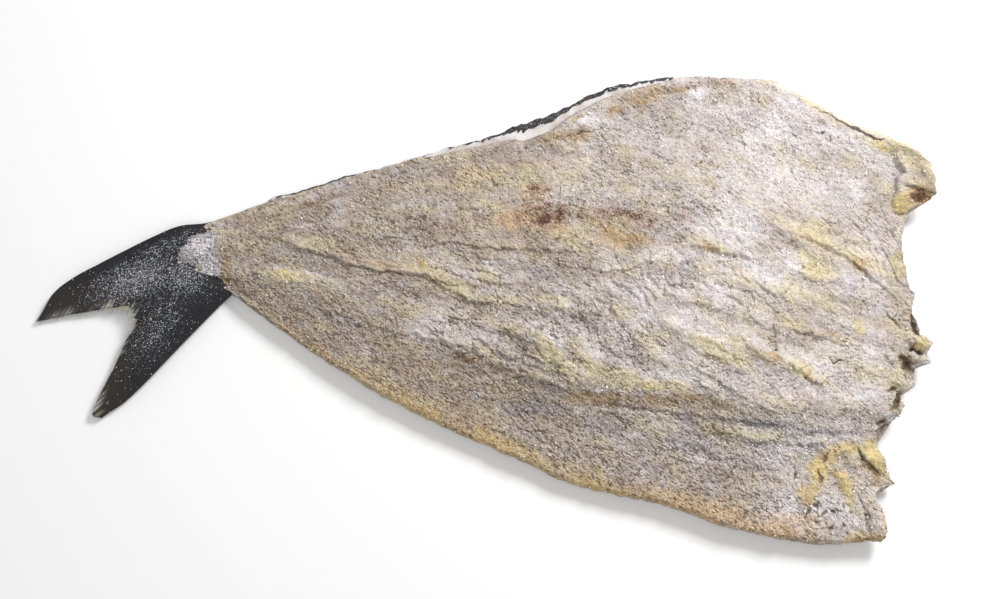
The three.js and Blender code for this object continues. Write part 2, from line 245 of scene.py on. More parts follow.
# Noise patterns of the relief and stains: run along x and rise along y in millimetres, seed and octaves.
PATTERNS = {
    "fold breaks": (9, 7, 47, 1), "fold nicks": (3, 3, 48, 1),
    "ridge breaks": (8, 6, 147, 1), "ridge nicks": (2.6, 2.6, 148, 1),
    "layer patches": (34, 15, 13, 2), "layer breaks": (9, 6, 16, 1),
    "flake turns": (60, 40, 125, 1), "flake patches": (30, 20, 127, 2), "flake breaks": (6, 5, 128, 2),
    "crust patches": (26, 20, 81, 2), "crust lumps": (8.5, 5, 23, 3),
    "craze breaks": (4.5, 3.5, 35, 1), "craze nicks": (1.7, 1.7, 36, 1), "craze patches": (13, 9, 37, 2),
    "tears": (6, 5, 101, 3), "collar lumps": (12, 12, 5, 1), "collar grit": (6, 6, 51, 2),
    "rim": (12, 12, 97, 2), "gilt": (14, 14, 171, 2), "pits": (16, 12, 131, 2),
    "skin edge": (2.2, 2.2, 61, 3), "skin wrinkles": (5, 4, 63, 2), "skin tatters": (3.1, 1, 62, 2),
    "fin waves": (22, 22, 72, 1),
}
# How noise moves points about: reach along x and y, run and rise, seeds for x and y, and octaves.
MOVES = {
    "folds": [(1.6, 1.3, 6, 5, 41, 43, 1), (0.6, 0.6, 1.9, 1.9, 42, 44, 1)],
    "ridges": [(1.6, 1.3, 6, 5, 141, 143, 1), (0.6, 0.6, 1.9, 1.9, 142, 144, 1)],
    "cracks": [(0.9, 0.9, 3, 3, 151, 152, 1)],
    "flakes": [(5, 3, 16, 10, 121, 123, 1), (2.2, 1.6, 5, 4, 122, 124, 1)],
    "grains": [(0.9, 0.7, 2.6, 2.6, 28, 29, 1)],
    "knobs": [(1.2, 1.2, 2.4, 2.4, 161, 162, 1)],
    "stains": [(2.6, 2.4, 8, 7, 91, 95, 3)],
}

# How far cells stray from their lattice and their domes reach, as shares of a cell, then the cells of the
# torn flakes, with their slope, and of the crust's grains and clods.
CELL = {"jitter": 0.42, "dome": 0.75}
FLAKE = {"length": 19, "width": 7, "seed": 126, "turn": 0.3, "swing": 0.25}
GRAIN = {"length": 2.6, "width": 1.4, "seed": 24}
CLOD = {"length": 5.2, "width": 3.4, "seed": 27}

# Fine layers: pitch, the patch where they lean, how noise bends them, and the seed of their heights.
LAYER_PITCH = 8.5
LAYER_LEAN = (60, -32, 50, 34, 0.7)
LAYER_BENDS = [(0.55, 52, 17, 11), (0.35, 19, 8, 12), (0.12, 6, 4, 14), (0.05, 2.2, 2, 10)]
LAYER_SEED = 15

# What each mark adds to the yellow of crests, the painted shade of cracks and the painted shade in the
# crust's pits, and what each stain, or its cover of at most 1, adds to that pit shade.
CREST_MARKS = {"layer_crest": 0.2, "fold_crest": 0.35, "ridge_crest": 0.35}
CRACK_MARKS = {
    "layer_crack": 0.1, "fold_crease": 0.85, "flake_crack": 0.45, "craze": 0.9, "thin_crack": 1.1,
    "tear": 1, "ridge_foot": 0.7, "hole": 1.2,
}
PIT_MARKS = {"fold_crest": -0.45, "ridge_crest": -0.6, "ridge_lit": -0.5, "collar": -0.35}
PIT_STAINS = {"slate": 0.3, "dull": 0.4}
PIT_COVER = {"bloom_and_highlight": -0.5, "lemon": -0.4, "peach": -0.35}

# Forked tail fin, how far its two sides bow out at even steps from root to tip, its thickness and height at
# root, middle and end, its crest, and its soft patches of salt dust.
FIN_ROOT = [(-186, 56.5), (-164, 14)]
FIN_TRAILING = [
    (-301, -11), (-276, -6), (-249, -2), (-238, -2), (-233, -13),
    (-239, -24), (-246, -40), (-260, -70), (-255, -75),
]
FIN_UPPER_BOW = [0, 7.2, 9.6, 10.8, 11.7, 12.4, 10, 0]
FIN_LOWER_BOW = [0, 0, 0.8, 1.6, 2.6, 3.4, 3, 0]
FIN_THICKNESS = (5, 2.2, 1.4)
FIN_FLOOR = (0.8, 4, 1.5)
FIN_CREST = {"root": 0.9, "fork": 0.5, "height": 6}
FIN_DUST = [
    (-233, 17, 28, 13, 18, 0.9), (-201, 20, 18, 14, 15, 0.7), (-219, -14, 30, 14, 59, 0.4),
    (-218, 38, 28, 9, 23, 0.45),
]

# Soft patches on the flesh: centre x and y, half length and half width in millimetres, turn in degrees
# where there is one, and strength. Each list is named after what it gives the flesh.
BLOOM_AND_HIGHLIGHT = [
    (243, -105, 14, 18, 0.5), (200, -146, 26, 6, 0.6), (238, -112, 18, 16, 0.8), (198, -138, 24, 10, 0.5),
    (37, -22, 22, 14, 0.5), (0, -50, 22, 14, 0.4), (200, 102, 62, 44, 1.0), (120, 85, 50, 35, 0.2),
    (232, 70, 50, 45, 0.3), (100, 117, 45, 24, 0.2), (156, 50, 26, 30, 1.0), (152, 12, 22, 16, 0.8),
    (-118, 76, 30, 4, 18, 0.7), (120, 32, 22, 7, 0.7), (175, 24, 32, 10, -8, 0.9), (190, 33, 10, 5, 1.0),
    (105, 5, 32, 14, -10, 0.8), (153, -17, 80, 34, 0.55), (115, -50, 30, 10, 1.0),
    (155, -50, 30, 10, 0.6), (-22, -20, 40, 13, -10, 1.3), (70, -22, 30, 14, 0.5), (77, 84, 26, 34, 0.5),
    (196, 68, 24, 18, 0.3), (254, -130, 5, 24, 5, 0.9), (226, -44, 50, 30, 0.9), (215, 0, 60, 40, 0.35),
    # The narrow patches at x 43 and 69 are painted highlights on the lit upper sides of two ridges.
    (120, -41, 20, 7, -25, 1.0), (43, -23, 12, 3.5, -48, 0.8), (69, -32, 12, 3.5, -38, 0.8),
    (-100, 12, 36, 10, -12, 0.6), (66, 121.5, 13, 4.5, 15, 2.0), (140, 141, 8, 4, 1.6),
    (249.5, -136, 18, 5, -74, 0.9), (202, -112, 14, 12, 0.8), (70, -82, 32, 12, 0.5),
    (0, 20, 50, 10, -6, 0.5), (10, -62, 8, 3, -40, 0.9), (20, -85, 8, 3, -40, 0.8),
    (250, 30, 16, 24, 0.7), (205, -95, 50, 22, 1.0), (214, -134, 34, 14, 1.5),
]
# Dull patches darken the flesh, partly its own duller colour and partly painted shade.
DULL = [
    (50, 112, 20, 4, 12, 0.3), (196, 100, 22, 14, 0.25), (135, 98, 44, 14, 0.2),
    (70, -64, 34, 4, -3, 0.9), (130, -66, 34, 3.5, -4, 0.8), (195, -18, 24, 14, 0.5),
    (10, -64, 80, 20, -20, 0.5), (-120, -8, 60, 24, -25, 0.2), (40, 52, 60, 14, 0.25),
    (150, -110, 60, 20, 0.15),
]
YELLOW = [
    (-135, 19, 18, 4, -3, 0.8), (-43, 28, 9, 5, -35, 0.9), (-28, 15, 13, 5, -45, 0.9),
    (30, 2, 24, 3, 0.7), (2, -11, 5, 4, 0.6), (16, -17, 7, 3.5, -30, 0.9), (42, -33, 17, 5, -48, 1.1),
    (67, -43, 15, 6, -40, 1.1), (108, -54, 28, 4, -5, 1.0), (85, -50, 20, 5, -10, 0.8),
    (116, 24, 4, 3, 0.8), (142, -27, 10, 5, -15, 1.0), (152, -37, 15, 4, -22, 0.9),
    (197, -13, 10, 4, 0.8), (242, -18, 6, 5, 0.9), (250, -46, 13, 9, 0.7), (205, -46, 10, 4, -30, 0.8),
    (215, 43, 28, 7, -27, 0.9), (217, 21, 15, 7, -10, 1.0), (207, 32, 8, 6, 0.8),
    (154, 34, 9, 4, -20, 0.8), (269, 25, 5, 8, 0.9), (-10, 80, 20, 9, 0.6), (5, 89, 6, 3, 0.7),
    (115, 89, 12, 5, -30, 0.5), (195, 100, 12, 6, -30, 0.45), (208, 93, 5, 5, 0.6),
    (217, -108, 14, 8, 50, 1.0), (232, -118, 15, 5, -66, 0.8), (234, -97, 12, 6, 0.9),
    (236, -108, 22, 15, 0.6), (251, -102, 14, 6, -58, 0.9), (249.5, -136, 18, 4.5, -74, 0.4),
    (283, -27, 8, 5, 1.0), (281, -37, 9, 3, -15, 0.8), (-141, 53, 26, 10, 0.15), (35, 82, 40, 12, 0.4),
    (70, 46, 40, 10, 0.5), (284, 92, 12, 14, 0.15), (262, 107, 14, 4, -25, 0.8), (166, -8, 8, 6, 0.5),
    (225, 5, 26, 8, -8, 0.35), (175, -86, 28, 4, -6, 0.6), (145, -83, 9, 3, -10, 0.8),
    (272, -14, 9, 26, 0.5), (268, -55, 10, 22, 0.55), (60, 127, 10, 3, 30, 0.5),
]
OCHRE = [
    (84, 130, 10, 4, 22, 0.9), (104, 138, 14, 4, 15, 0.9), (130, 145, 14, 3, 5, 0.8),
    (50, 113, 20, 4, 12, 0.7), (86, 41, 13, 8, -10, 0.8), (-85, 32, 24, 5, -25, 0.55),
    (-70, 26, 14, 4, -10, 0.6), (-44, 26, 7, 4, -35, 0.7), (-31, 14, 9, 3, -45, 0.7),
    (-176, 26, 6, 5, 1.0), (-174, 17, 5, 5, 1.0), (95, 42, 15, 5, -5, 1.1), (75, 50, 13, 4, -45, 1.0),
    (15, 57, 16, 9, 0.5), (45, 47, 30, 6, -5, 0.4), (33, 80, 9, 7, 0.6), (146, 35, 8, 3, -15, 1.0),
    (213, 40, 16, 4, -28, 0.65), (243, 25, 11, 3, -38, 1.0), (225, -23, 15, 3.5, -15, 0.65),
    (211, -52, 8, 2.5, -45, 0.9), (186, -36, 5, 3.5, 0.9), (150, -41, 6, 3, 0.5),
    (-12, -37, 10, 3, -20, 0.8), (105, -64, 6, 5, 0.8), (70, -63, 30, 5, -3, 0.85),
    (130, -64, 34, 4, -4, 0.75), (170, -74, 18, 4, 0.45), (-20, -70, 32, 8, -25, 0.45),
    (105, 140, 16, 8, 12, 0.8), (122, 144, 14, 4, 0.8), (160, 147, 10, 4, 0.7), (85, 131, 11, 5, 30, 0.7),
    (60, 112, 18, 3, 12, 0.7), (185, 137, 7, 2.5, 0.6), (206, -126, 7, 5, 60, 0.7),
    (250, -112.5, 7, 4, -50, 0.9), (193, -148, 6, 6, 0.8), (245, -153, 10, 3, 0.8), (286, 70, 11, 8, 1.1),
    (272, -40, 4, 9, 25, 0.7), (277, -12, 3, 10, 0.6), (266, -66, 4, 8, -20, 0.6),
    (-120, 66, 14, 4, 15, 0.6), (120, 57, 26, 6, 0.35), (127, -135, 40, 5, -18, 0.4),
    (185, -152, 40, 4, -5, 0.6), (176, -137, 4, 10, 0.5), (38, 57, 22, 9, 0.7), (85, 55, 30, 7, -5, 0.6),
]
PEACH = [
    (28, 72, 16, 10, 0.5), (236, -110, 22, 13, 0.4), (80, 42, 18, 9, 0.6), (198, -141, 28, 7, 0.7),
    (150, -137, 28, 6, 0.6), (120, -127, 26, 7, -20, 0.7), (150, -137, 26, 9, -18, 1.0),
    (182, -147, 30, 8, -6, 0.9), (205, -140, 10, 6, 0.5), (18, 57, 14, 10, 0.8), (40, 50, 20, 4, 0.6),
    (0, 90, 40, 10, 15, 0.5), (50, 96, 30, 9, 10, 0.4), (-60, 22, 20, 8, -20, 0.4),
    (200, -64, 40, 8, -4, 0.4), (220, -100, 8, 6, 0.7), (-30, -40, 50, 14, -22, 0.3),
    (20, -60, 40, 8, -15, 0.3),
]
BLOOD = [
    (83, 131, 5, 2, 20, 0.5), (118, 141, 6, 2, 10, 0.5), (31, 79, 6, 3.5, 0.9), (41, 77, 4, 3, 0.8),
    (36, 55.5, 5.5, 5.5, 1.5), (46, 59, 4, 7, -10, 1.0), (33, 64, 9, 3, 0.7),
    (93, 59.5, 15, 3.4, -8, 0.85), (106, 54, 4, 5, 0.7), (24, 57, 15, 9, 0.5), (40, 50, 14, 3, 0.45),
    (62, 60, 5, 5, 0.6), (76, 62, 12, 4, 0.6), (20, 57, 5, 5, 0.6), (35, 76, 9, 4, 0.5),
    (215.5, -112.5, 6, 2.5, -66, 0.7), (219.5, -101, 6, 3, 55, 0.6), (286, 71, 7, 4, 0.8),
    (274, -39, 5, 8, 25, 0.6), (125, 57, 20, 6, 0.3), (104, -64, 5, 4, 0.5), (108, 140, 8, 4, 0.4),
    (85, 59, 7, 3, 0.8),
]
SLATE = [
    (37, -86, 18, 9, 0.4), (32, -68, 22, 9, 1.0), (72, -80, 24, 9, -5, 0.7), (40, 20, 26, 8, -5, 0.6),
    (55, -12, 11, 8, 0.4), (66, -22, 13, 9, -40, 0.35), (120, -35, 9, 6, 0.6), (180, -79, 28, 3, -3, 1.1),
    (220, -85, 28, 3, 0.9), (140, -77, 22, 3, -8, 0.5), (-130, 34, 24, 6, -15, 0.6),
    (230, 70, 18, 16, 0.4), (120, 78, 15, 8, 0.6), (236.6, -109, 4.2, 8, 8, 0.7), (-202, 31, 6, 8, 1.2),
    (130, -92, 52, 8, -3, 0.5), (16, 86, 9, 9, 0.5), (-192, 36, 9, 9, 1.4), (-90, -10, 32, 12, -20, 0.35),
    (-125, 5, 30, 14, -20, 0.3), (258, -86, 8, 6, 0.4), (232, -76, 8, 5, 0.4),
]
FROST = [(-193, 38, 12, 11, 1.3), (-184, 24, 6, 9, -25, 1.0), (-186, 47, 7, 5, 0.8)]
LEMON = [
    (224, -99, 9, 6, 40, 1.1), (215, -109, 9, 6.5, 55, 1.2), (207.5, -122.5, 9, 6.5, 60, 1.2),
    (231.5, -119, 15, 3.6, -66, 1.0), (236, -96, 9, 4, -10, 0.9), (251.5, -100, 16, 5.5, -58, 1.1),
    (243, -153, 17, 4.5, 1.2), (256, -134, 4, 22, 5, 0.7), (276, 68, 7, 8, 1.1),
    (-135, 19, 16, 3, -3, 0.6), (-43, 28, 8, 4, -35, 0.6), (42, -33, 15, 3.5, -48, 0.4),
    (67, -43, 13, 4.5, -40, 0.4), (217, 21, 12, 5, -10, 0.45), (215, 43, 24, 5, -27, 0.35),
    (142, -27, 8, 3.5, -15, 0.45), (197, -13, 8, 3, 0.4), (242, -18, 5, 4, 0.5), (250, -46, 10, 6, 0.35),
    (283, -27, 7, 4, 0.8), (108, -54, 24, 3, -5, 0.5), (269, 25, 4, 7, 0.45), (10, -92, 36, 5, -24, 0.5),
    (60, 126, 8, 2.5, 30, 0.5), (262, 106, 10, 3, -25, 0.7), (186, -36, 4, 3, 0.6),
    (206, -46, 8, 3, -30, 0.5),
]

STAINS = {
    "bloom_and_highlight": BLOOM_AND_HIGHLIGHT, "dull": DULL, "yellow": YELLOW, "ochre": OCHRE, "peach": PEACH, "blood": BLOOD,
    "slate": SLATE, "frost": FROST, "lemon": LEMON,
}

# The fatty gilt of the lower edge, and how pale the flesh is along the body: darker towards the tail, partly
# the drier flesh's own colour and partly painted shade.
GILT = {"width": 7.5, "from": (0.08, 0.2), "to": (0.6, 0.78)}
PALE = [(0, -0.45), (0.3, -0.25), (0.5, 0), (0.7, 0.04), (1, 0)]

# Holes and knobs: centre x and y, half length, half width, turn in degrees, depth or height. A knob of less
# than no height is a dent.
HOLES = [
    (280, -31.5, 4, 1.4, -10, 3.5), (273, -40, 8, 3.2, -60, 3.0), (266, -65, 7, 2, 65, 2.5),
    (256, -78, 3, 2, 30, 2.5), (262, -57, 3, 1.2, 40, 1.6), (224, 116, 1.8, 1, -60, 1.2),
    (233, 112, 1, 0.8, 0, 1.0), (228, 111, 0.8, 1.4, 0, 1.0), (279, -15, 1.4, 6, 10, 1.6),
    (285, 71, 5, 2.2, -10, 1.6), (216.8, -137.1, 2.5, 1.5, 30, 1.5), (222.7, -135.8, 2, 1.4, 0, 1.3),
    (206.8, -135.8, 2.5, 1.3, 50, 1.4), (211.5, -131.1, 2, 1.2, 0, 1.2), (229, -144, 2, 1.2, 0, 1.0),
]
KNOBS = [
    (66, 121.5, 12, 4.5, 15, 1.4), (140, 141, 5, 3, 0, 0.8), (283, -26, 8, 3.6, -12, 3.6),
    (281, -37, 9, 2.4, -15, 3.2), (250.5, -101, 11, 5, -60, 2.5), (209, -120, 8, 6, 60, 1.6),
    (205.5, -127, 5, 5, 0, 1.2), (228, -97, 9, 4, 10, 1.2), (233, -122, 11, 3.5, -66, 1.8),
    (270, -70, 5, 4, -30, 2.0), (-201, 33, 6, 8, -20, 1.2), (-191, 36, 7, 7, 0, 0.8),
    (225, -140, 8, 6, 20, 1.0), (210, -138, 6, 4, 0, 1.0), (249.5, -136, 17, 4, -74, 1.6),
    (288, 66, 4, 3, 0, 1.5), (281, 63, 5, 3, 0, 1.2), (273, -55, 5, 4, 20, 1.5),
    (223, -104, 6, 5, 45, 1.2), (280, 69, 9, 6, 0, 2.0), (281, 87, 5, 8, 10, -1.6),
    (280, 3, 3, 3, 0, 1.5), (268, -52, 5, 3, 30, 1.4), (262, -72, 4, 3, 0, 1.4),
]


def srgb(red, green, blue):
    """A screen colour from 0 to 255 as linear red, green and blue."""
    shares = [channel / 255 for channel in (red, green, blue)]
    return tuple(c / 12.92 if c <= 0.04045 else ((c + 0.055) / 1.055) ** 2.4 for c in shares)


def length(name, description, millimetres):
    """A length property whose default is given in millimetres."""
    return bpy.props.FloatProperty(
        name=name, description=description, default=millimetres * MM, min=0, unit="LENGTH", precision=5
    )


def count(name, description, default):
    """A whole number property of at least one."""
    return bpy.props.IntProperty(name=name, description=description, default=default, min=1)


def power(name, description, watts):
    """A light's power as a property."""
    return bpy.props.FloatProperty(name=name, description=description, default=watts, min=0, unit="POWER")


def colour(name, description, red, green, blue):
    """A colour property whose default is given as a screen colour."""
    return bpy.props.FloatVectorProperty(
        name=name, description=description, default=srgb(red, green, blue),
        size=3, min=0, max=1, subtype="COLOR",
    )


class SaitheSizes(bpy.types.PropertyGroup):
    """Sizes of the fish's relief and of what lies on it."""

    ripple_height: length("Ripple height", "Height of the muscle ripples", 0.9)
    layer_height: length("Layer height", "Step between the fine overlapping layers", 0.38)
    flake_height: length("Flake height", "Height of the torn flakes", 2.2)
    grain_height: length("Crust grain height", "Height of the crust's grains", 0.8)
    clod_height: length("Crust clod height", "Height of the crust's larger clods", 1.1)
    crack_depth: length("Crack depth", "Depth of the cracks between layers", 0.8)
    tear_depth: length("Tear depth", "Depth of the tears at the neck", 3.0)
    skin_thickness: length("Skin thickness", "Thickness of the dried skin", 1.2)
    ray_height: length("Ray height", "Height of the tail fin's rays", 0.35)
    salt_small: length("Smallest salt grain", "Edge of the smallest salt grains", 0.5)
    salt_large: length("Largest salt grain", "Edge of the largest salt grains", 1.3)
    salt_count: count("Salt grains", "Salt grains on the fish", 9000)
    shred_count: count("Shreds", "Torn shreds at the neck", 60)
    hair_count: count("Fin hairs", "Frayed ends of the fin's rays", 420)


class SaitheColours(bpy.types.PropertyGroup):
    """Colours of the dried fish and of the floor."""

    cream: colour("Cream", "Dry flesh", 207, 196, 192)
    bloom_and_highlight: colour("Bloom", "Salt-bloomed flesh", 231, 224, 225)
    tan: colour("Tan", "Duller flesh near the tail and edges", 174, 157, 144)
    yellow: colour("Yellow", "Yellowed crests of the layers", 212, 199, 164)
    lemon: colour("Lemon", "Bright fatty patches", 219, 195, 130)
    cool: colour("Cool", "Cool clouds in the salt", 204, 204, 211)
    frost: colour("Frost", "Bluish salt at the tail", 176, 178, 190)
    ochre: colour("Ochre", "Rancid ochre patches", 184, 155, 115)
    blood: colour("Blood", "Old blood stains", 94, 54, 50)
    peach: colour("Peach", "Warm tint of the thin flaps", 224, 190, 150)
    rust: colour("Rust", "Flesh round the old blood", 176, 134, 96)
    # The specks colour paints shade into the crust's pits.
    speck: colour("Specks", "Pits between the grains of the crust", 94, 78, 65)
    slate: colour("Slate", "Bluish grey hollows", 156, 152, 155)
    # The crevice colour paints shade into cracks, creases, holes and tears.
    crevice: colour("Crevice", "Dark bottom of the cracks", 82, 65, 45)
    skin_dark: colour("Dark skin", "Back of the fish", 50, 48, 49)
    skin_silver: colour("Silver skin", "Belly of the fish", 150, 148, 144)
    skin_inner: colour("Inner skin", "Bare inner face of the skin", 222, 217, 217)
    fin_dark: colour("Fin", "Rays of the tail fin", 35, 35, 37)
    fin_brown: colour("Fin tips", "Brown tips of the fin", 52, 46, 40)
    fin_hair: colour("Fin hairs", "Frayed pale ray ends", 196, 192, 180)
    salt: colour("Salt", "Salt grains", 232, 229, 227)
    floor: colour("Floor", "Pale floor", 248, 248, 248)


class SaitheStage(bpy.types.PropertyGroup):
    """Camera and light."""

    elevation: bpy.props.FloatProperty(
        name="Elevation", description="Camera angle over the floor",
        default=math.radians(82), subtype="ANGLE",
    )
    distance: length("Distance", "Camera distance", 1000)
    view_width: length("View width", "Width of the view at the fish", 661.5)
    key_power: power("Key", "Key light", 15)
    fill_power: power("Fill", "Fill light", 8)
    sky: bpy.props.FloatProperty(name="Sky", description="Even light from all round", default=0.4, min=0)


def sizes_in_mm(context):
    """The length properties as millimetres, by name."""
    group = context.scene.saithe_sizes
    names = [name for name in group.__annotations__ if not name.endswith("_count")]
    return {name: getattr(group, name) / MM for name in names}


def smooth(value, low, high):
    """The smooth step from 0 at low to 1 at high: 3 t squared minus 2 t cubed."""
    share = np.clip((value - low) / (high - low), 0, 1)
    return share * share * (3 - 2 * share)


def lattice(i, j, seed):
    """A repeatable value from -1 to 1 for each lattice point, from the fraction of a large sine."""
    wave = np.sin(i * 127.1 + j * 311.7 + seed * 74.7) * 43758.5453
    return 2 * (wave - np.floor(wave)) - 1


def noise(x, y, seed):
    """Value noise from -1 to 1: lattice values blended by the smooth step along both axes."""
    i, j = np.floor(x), np.floor(y)
    across, up = smooth(x - i, 0, 1), smooth(y - j, 0, 1)
    low = lattice(i, j, seed) * (1 - across) + lattice(i + 1, j, seed) * across
    high = lattice(i, j + 1, seed) * (1 - across) + lattice(i + 1, j + 1, seed) * across
    return low * (1 - up) + high * up


def layered(x, y, seed, octaves):
    """Noise summed over octaves, each half as high and twice as fine as the one before."""
    total = np.zeros(np.broadcast(x, y).shape)
    for octave in range(octaves):
        total += noise(x * 2**octave, y * 2**octave, seed + 31 * octave) / 2**octave
    return total


def cells(x, y, shape):
    """Grains of a shape, round one jittered point in each cell, as (dome, border, pick, rise).

    The dome is 1 over a grain's middle and 0 at its rim, the border is the distance to the next
    nearest point less that to the nearest, the pick is a value from -1 to 1 for each grain, and
    the rise is how far a place lies above its grain's middle.
    """
    x, y, seed = x / shape["length"], y / shape["width"], shape["seed"]
    i, j = np.floor(x), np.floor(y)
    nearest = np.full(np.broadcast(x, y).shape, 9.0)
    second, pick, rise = nearest.copy(), np.zeros(nearest.shape), np.zeros(nearest.shape)
    for di in (-1, 0, 1):
        for dj in (-1, 0, 1):
            jitter_x, jitter_y = lattice(i + di, j + dj, seed), lattice(i + di, j + dj, seed + 1)
            over = y - j - dj - 0.5 - CELL["jitter"] * jitter_y
            gap = np.hypot(x - i - di - 0.5 - CELL["jitter"] * jitter_x, over)
            closer = gap < nearest
            pick = np.where(closer, jitter_x, pick)
            rise = np.where(closer, over, rise)
            second = np.minimum(second, np.maximum(gap, nearest))
            nearest = np.minimum(nearest, gap)
    return np.sqrt(np.clip(1 - (nearest / CELL["dome"]) ** 2, 0, 1)), second - nearest, pick, rise


def along(stations, place):
    """A value that runs by smooth steps through (place, value) stations."""
    value = np.full(np.shape(place), float(stations[0][1]))
    for (start, before), (end, after) in zip(stations, stations[1:]):
        value = np.where(place > start, before + (after - before) * smooth(place, start, end), value)
    return value


def through(values, share):
    """The parabola through a value's root, middle and end."""
    root, middle, end = values
    rest = 1 - share
    return root * rest * (1 - 2 * share) + 4 * middle * share * rest + end * share * (2 * share - 1)


def spline(points, share):
    """Point on the uniform Catmull-Rom curve through the points, with x and y as the last axis."""
    points = np.array(points, float)
    last = len(points) - 1
    place = np.clip(share, 0, 1) * last
    i = np.minimum(np.floor(place).astype(int), last - 1)
    w = (place - i)[..., None]
    a, b = points[np.maximum(i - 1, 0)], points[i]
    c, d = points[i + 1], points[np.minimum(i + 2, last)]
    start, end = (c - a) / 2, (d - b) / 2
    return (2 * b - 2 * c + start + end) * w**3 + (3 * c - 3 * b - 2 * start - end) * w**2 + start * w + b


def curve(values, share):
    """A value on the uniform Catmull-Rom curve through evenly spaced values."""
    return spline([(value, 0) for value in values], share)[..., 0]


def bell(x, y, spot):
    """A round Gaussian bump of height 1 at a spot."""
    return np.exp(-((x - spot["x"]) ** 2 + (y - spot["y"]) ** 2) / spot["radius"] ** 2)


def turned(x, y, cx, cy, degrees):
    """Offset from a centre, along and across a way that is turned by degrees from the x axis."""
    angle = math.radians(degrees)
    run = (x - cx) * math.cos(angle) + (y - cy) * math.sin(angle)
    return run, (y - cy) * math.cos(angle) - (x - cx) * math.sin(angle)


def hump(offset, width):
    """A Gaussian of height 1: e to the power of minus the square of the offset over the width."""
    return np.exp(-((offset / width) ** 2))


def patches(x, y, spots):
    """The largest at each point of a list of patches, each its strength times two crossed Gaussians."""
    total = np.zeros(np.shape(x))
    for cx, cy, half_length, half_width, *turn, strength in spots:
        run, rise = turned(x, y, cx, cy, turn[0] if turn else 0)
        total = np.maximum(total, strength * hump(run, half_length) * hump(rise, half_width))
    return total


def bumps(x, y, spots):
    """The sum of turned elliptic bumps with flat tops, and the share of the strongest at each point."""
    total, cover = np.zeros(np.shape(x)), np.zeros(np.shape(x))
    for cx, cy, half_length, half_width, turn, height in spots:
        run, rise = turned(x, y, cx, cy, turn)
        fall = np.exp(-(((run / half_length) ** 2 + (rise / half_width) ** 2) ** BUMP_STEEPNESS))
        total += height * fall
        cover = np.maximum(cover, fall)
    return total, cover


def pattern(name, x, y):
    """Noise of one of the named patterns."""
    run, rise, seed, octaves = PATTERNS[name]
    return layered(x / run, y / rise, seed, octaves)


def shifts(x, y, moves):
    """How far noise moves each point along x and along y."""
    over, up = 0.0, 0.0
    for reach_x, reach_y, run, rise, seed_x, seed_y, octaves in moves:
        over = over + reach_x * layered(x / run, y / rise, seed_x, octaves)
        up = up + reach_y * layered(x / run, y / rise, seed_y, octaves)
    return over, up


def moved(x, y, moves):
    """Points moved about by noise, so that what is drawn there comes out ragged."""
    over, up = shifts(x, y, moves)
    return x + over, y + up


def plan(u, v):
    """Plan position of body share u, tail to neck, and v, lower to upper edge, with half the width.

    A straight rib between the two edge curves, pushed out by the lobes and tatters of both ends.
    """
    low, high = spline(LOWER_EDGE, u), spline(UPPER_EDGE, u)
    share = (v + 1) / 2
    x = low[..., 0] + (high[..., 0] - low[..., 0]) * share
    y = low[..., 1] + (high[..., 1] - low[..., 1]) * share
    side, towards_edge = np.sign(v), np.abs(v)
    wave = EDGE_WAVE["height"] * noise(x / EDGE_WAVE["pitch"], side, EDGE_WAVE["seed"])
    tatter = EDGE_TATTER["height"] * layered(x / EDGE_TATTER["pitch"], side, EDGE_TATTER["seed"], 2)
    y = y + wave * smooth(towards_edge, EDGE_WAVE["start"], 1)
    y = y + tatter * smooth(towards_edge, EDGE_TATTER["start"], 1)
    x = x + along(NECK_EDGE, 1 - share) * smooth(u, NECK_START, 1)
    torn = NECK_TATTER["height"] * layered(share / NECK_TATTER["pitch"], 0.5 * u, NECK_TATTER["seed"], 3)
    x = x + torn * smooth(u, NECK_TATTER["start"], 1)
    half = np.hypot(high[..., 0] - low[..., 0], high[..., 1] - low[..., 1]) / 2
    return x, y, half


def underside(x, y, u, v):
    """Height of the skin side: flat in the middle, curled up at the flaps, corners and ear."""
    reach = smooth(np.abs(v), FLAT_REACH, 1) ** CURL["steepness"]
    wave = 1 - CURL["waviness"] * (1 - noise(x / CURL["pitch"], v, CURL["seed"]))
    curl = np.where(v > 0, CURL["upper"], CURL["lower"]) * wave * along(CURL_SHARE, u)
    near_corner = smooth(u, CORNER_CURL["along"], 1) * smooth(np.abs(v), CORNER_CURL["across"], 1)
    return reach * curl + CORNER_CURL["height"] * near_corner + EAR["lift"] * bell(x, y, EAR)


def thickness(u, v):
    """Thickness of the flesh: the loin's, falling to the flap's share of it across the body."""
    towards_flap = smooth(np.abs(v), LOIN_REACH, FLAP_REACH)
    return along(LOIN, u) * (1 + (along(FLAP_SHARE, u) - 1) * towards_flap)


def grain_lines(v, half):
    """Position across the muscle grain: v times a width between the local and the mean one."""
    return v * (half + (RIPPLE["mean_half_width"] - half) * RIPPLE["fan"])


def rippled(x, across):
    """How strongly the flesh is rippled at each point, from a trace to fully."""
    return RIPPLE["trace"] + (1 - RIPPLE["trace"]) * np.clip(patches(x, across, RIPPLED), 0, 1)


def ripples(x, u, across):
    """Muscle ripples: a sine with a second harmonic, bent and faded by noise along the grain."""
    phase = 2 * np.pi * (across + RIPPLE["slant"] * x) / RIPPLE["pitch"]
    for turn, run, width, seed in RIPPLE_BENDS:
        phase = phase + turn * noise(x / run, across / width, seed)
    wave = np.sin(phase) + RIPPLE["steepness"] * np.sin(2 * phase)
    mean, swing, run, width, seed = RIPPLE_STRENGTH
    strength = mean + swing * noise(x / run, across / width, seed)
    return strength * wave * along(RIPPLE_GROWTH, u) * rippled(x, across)


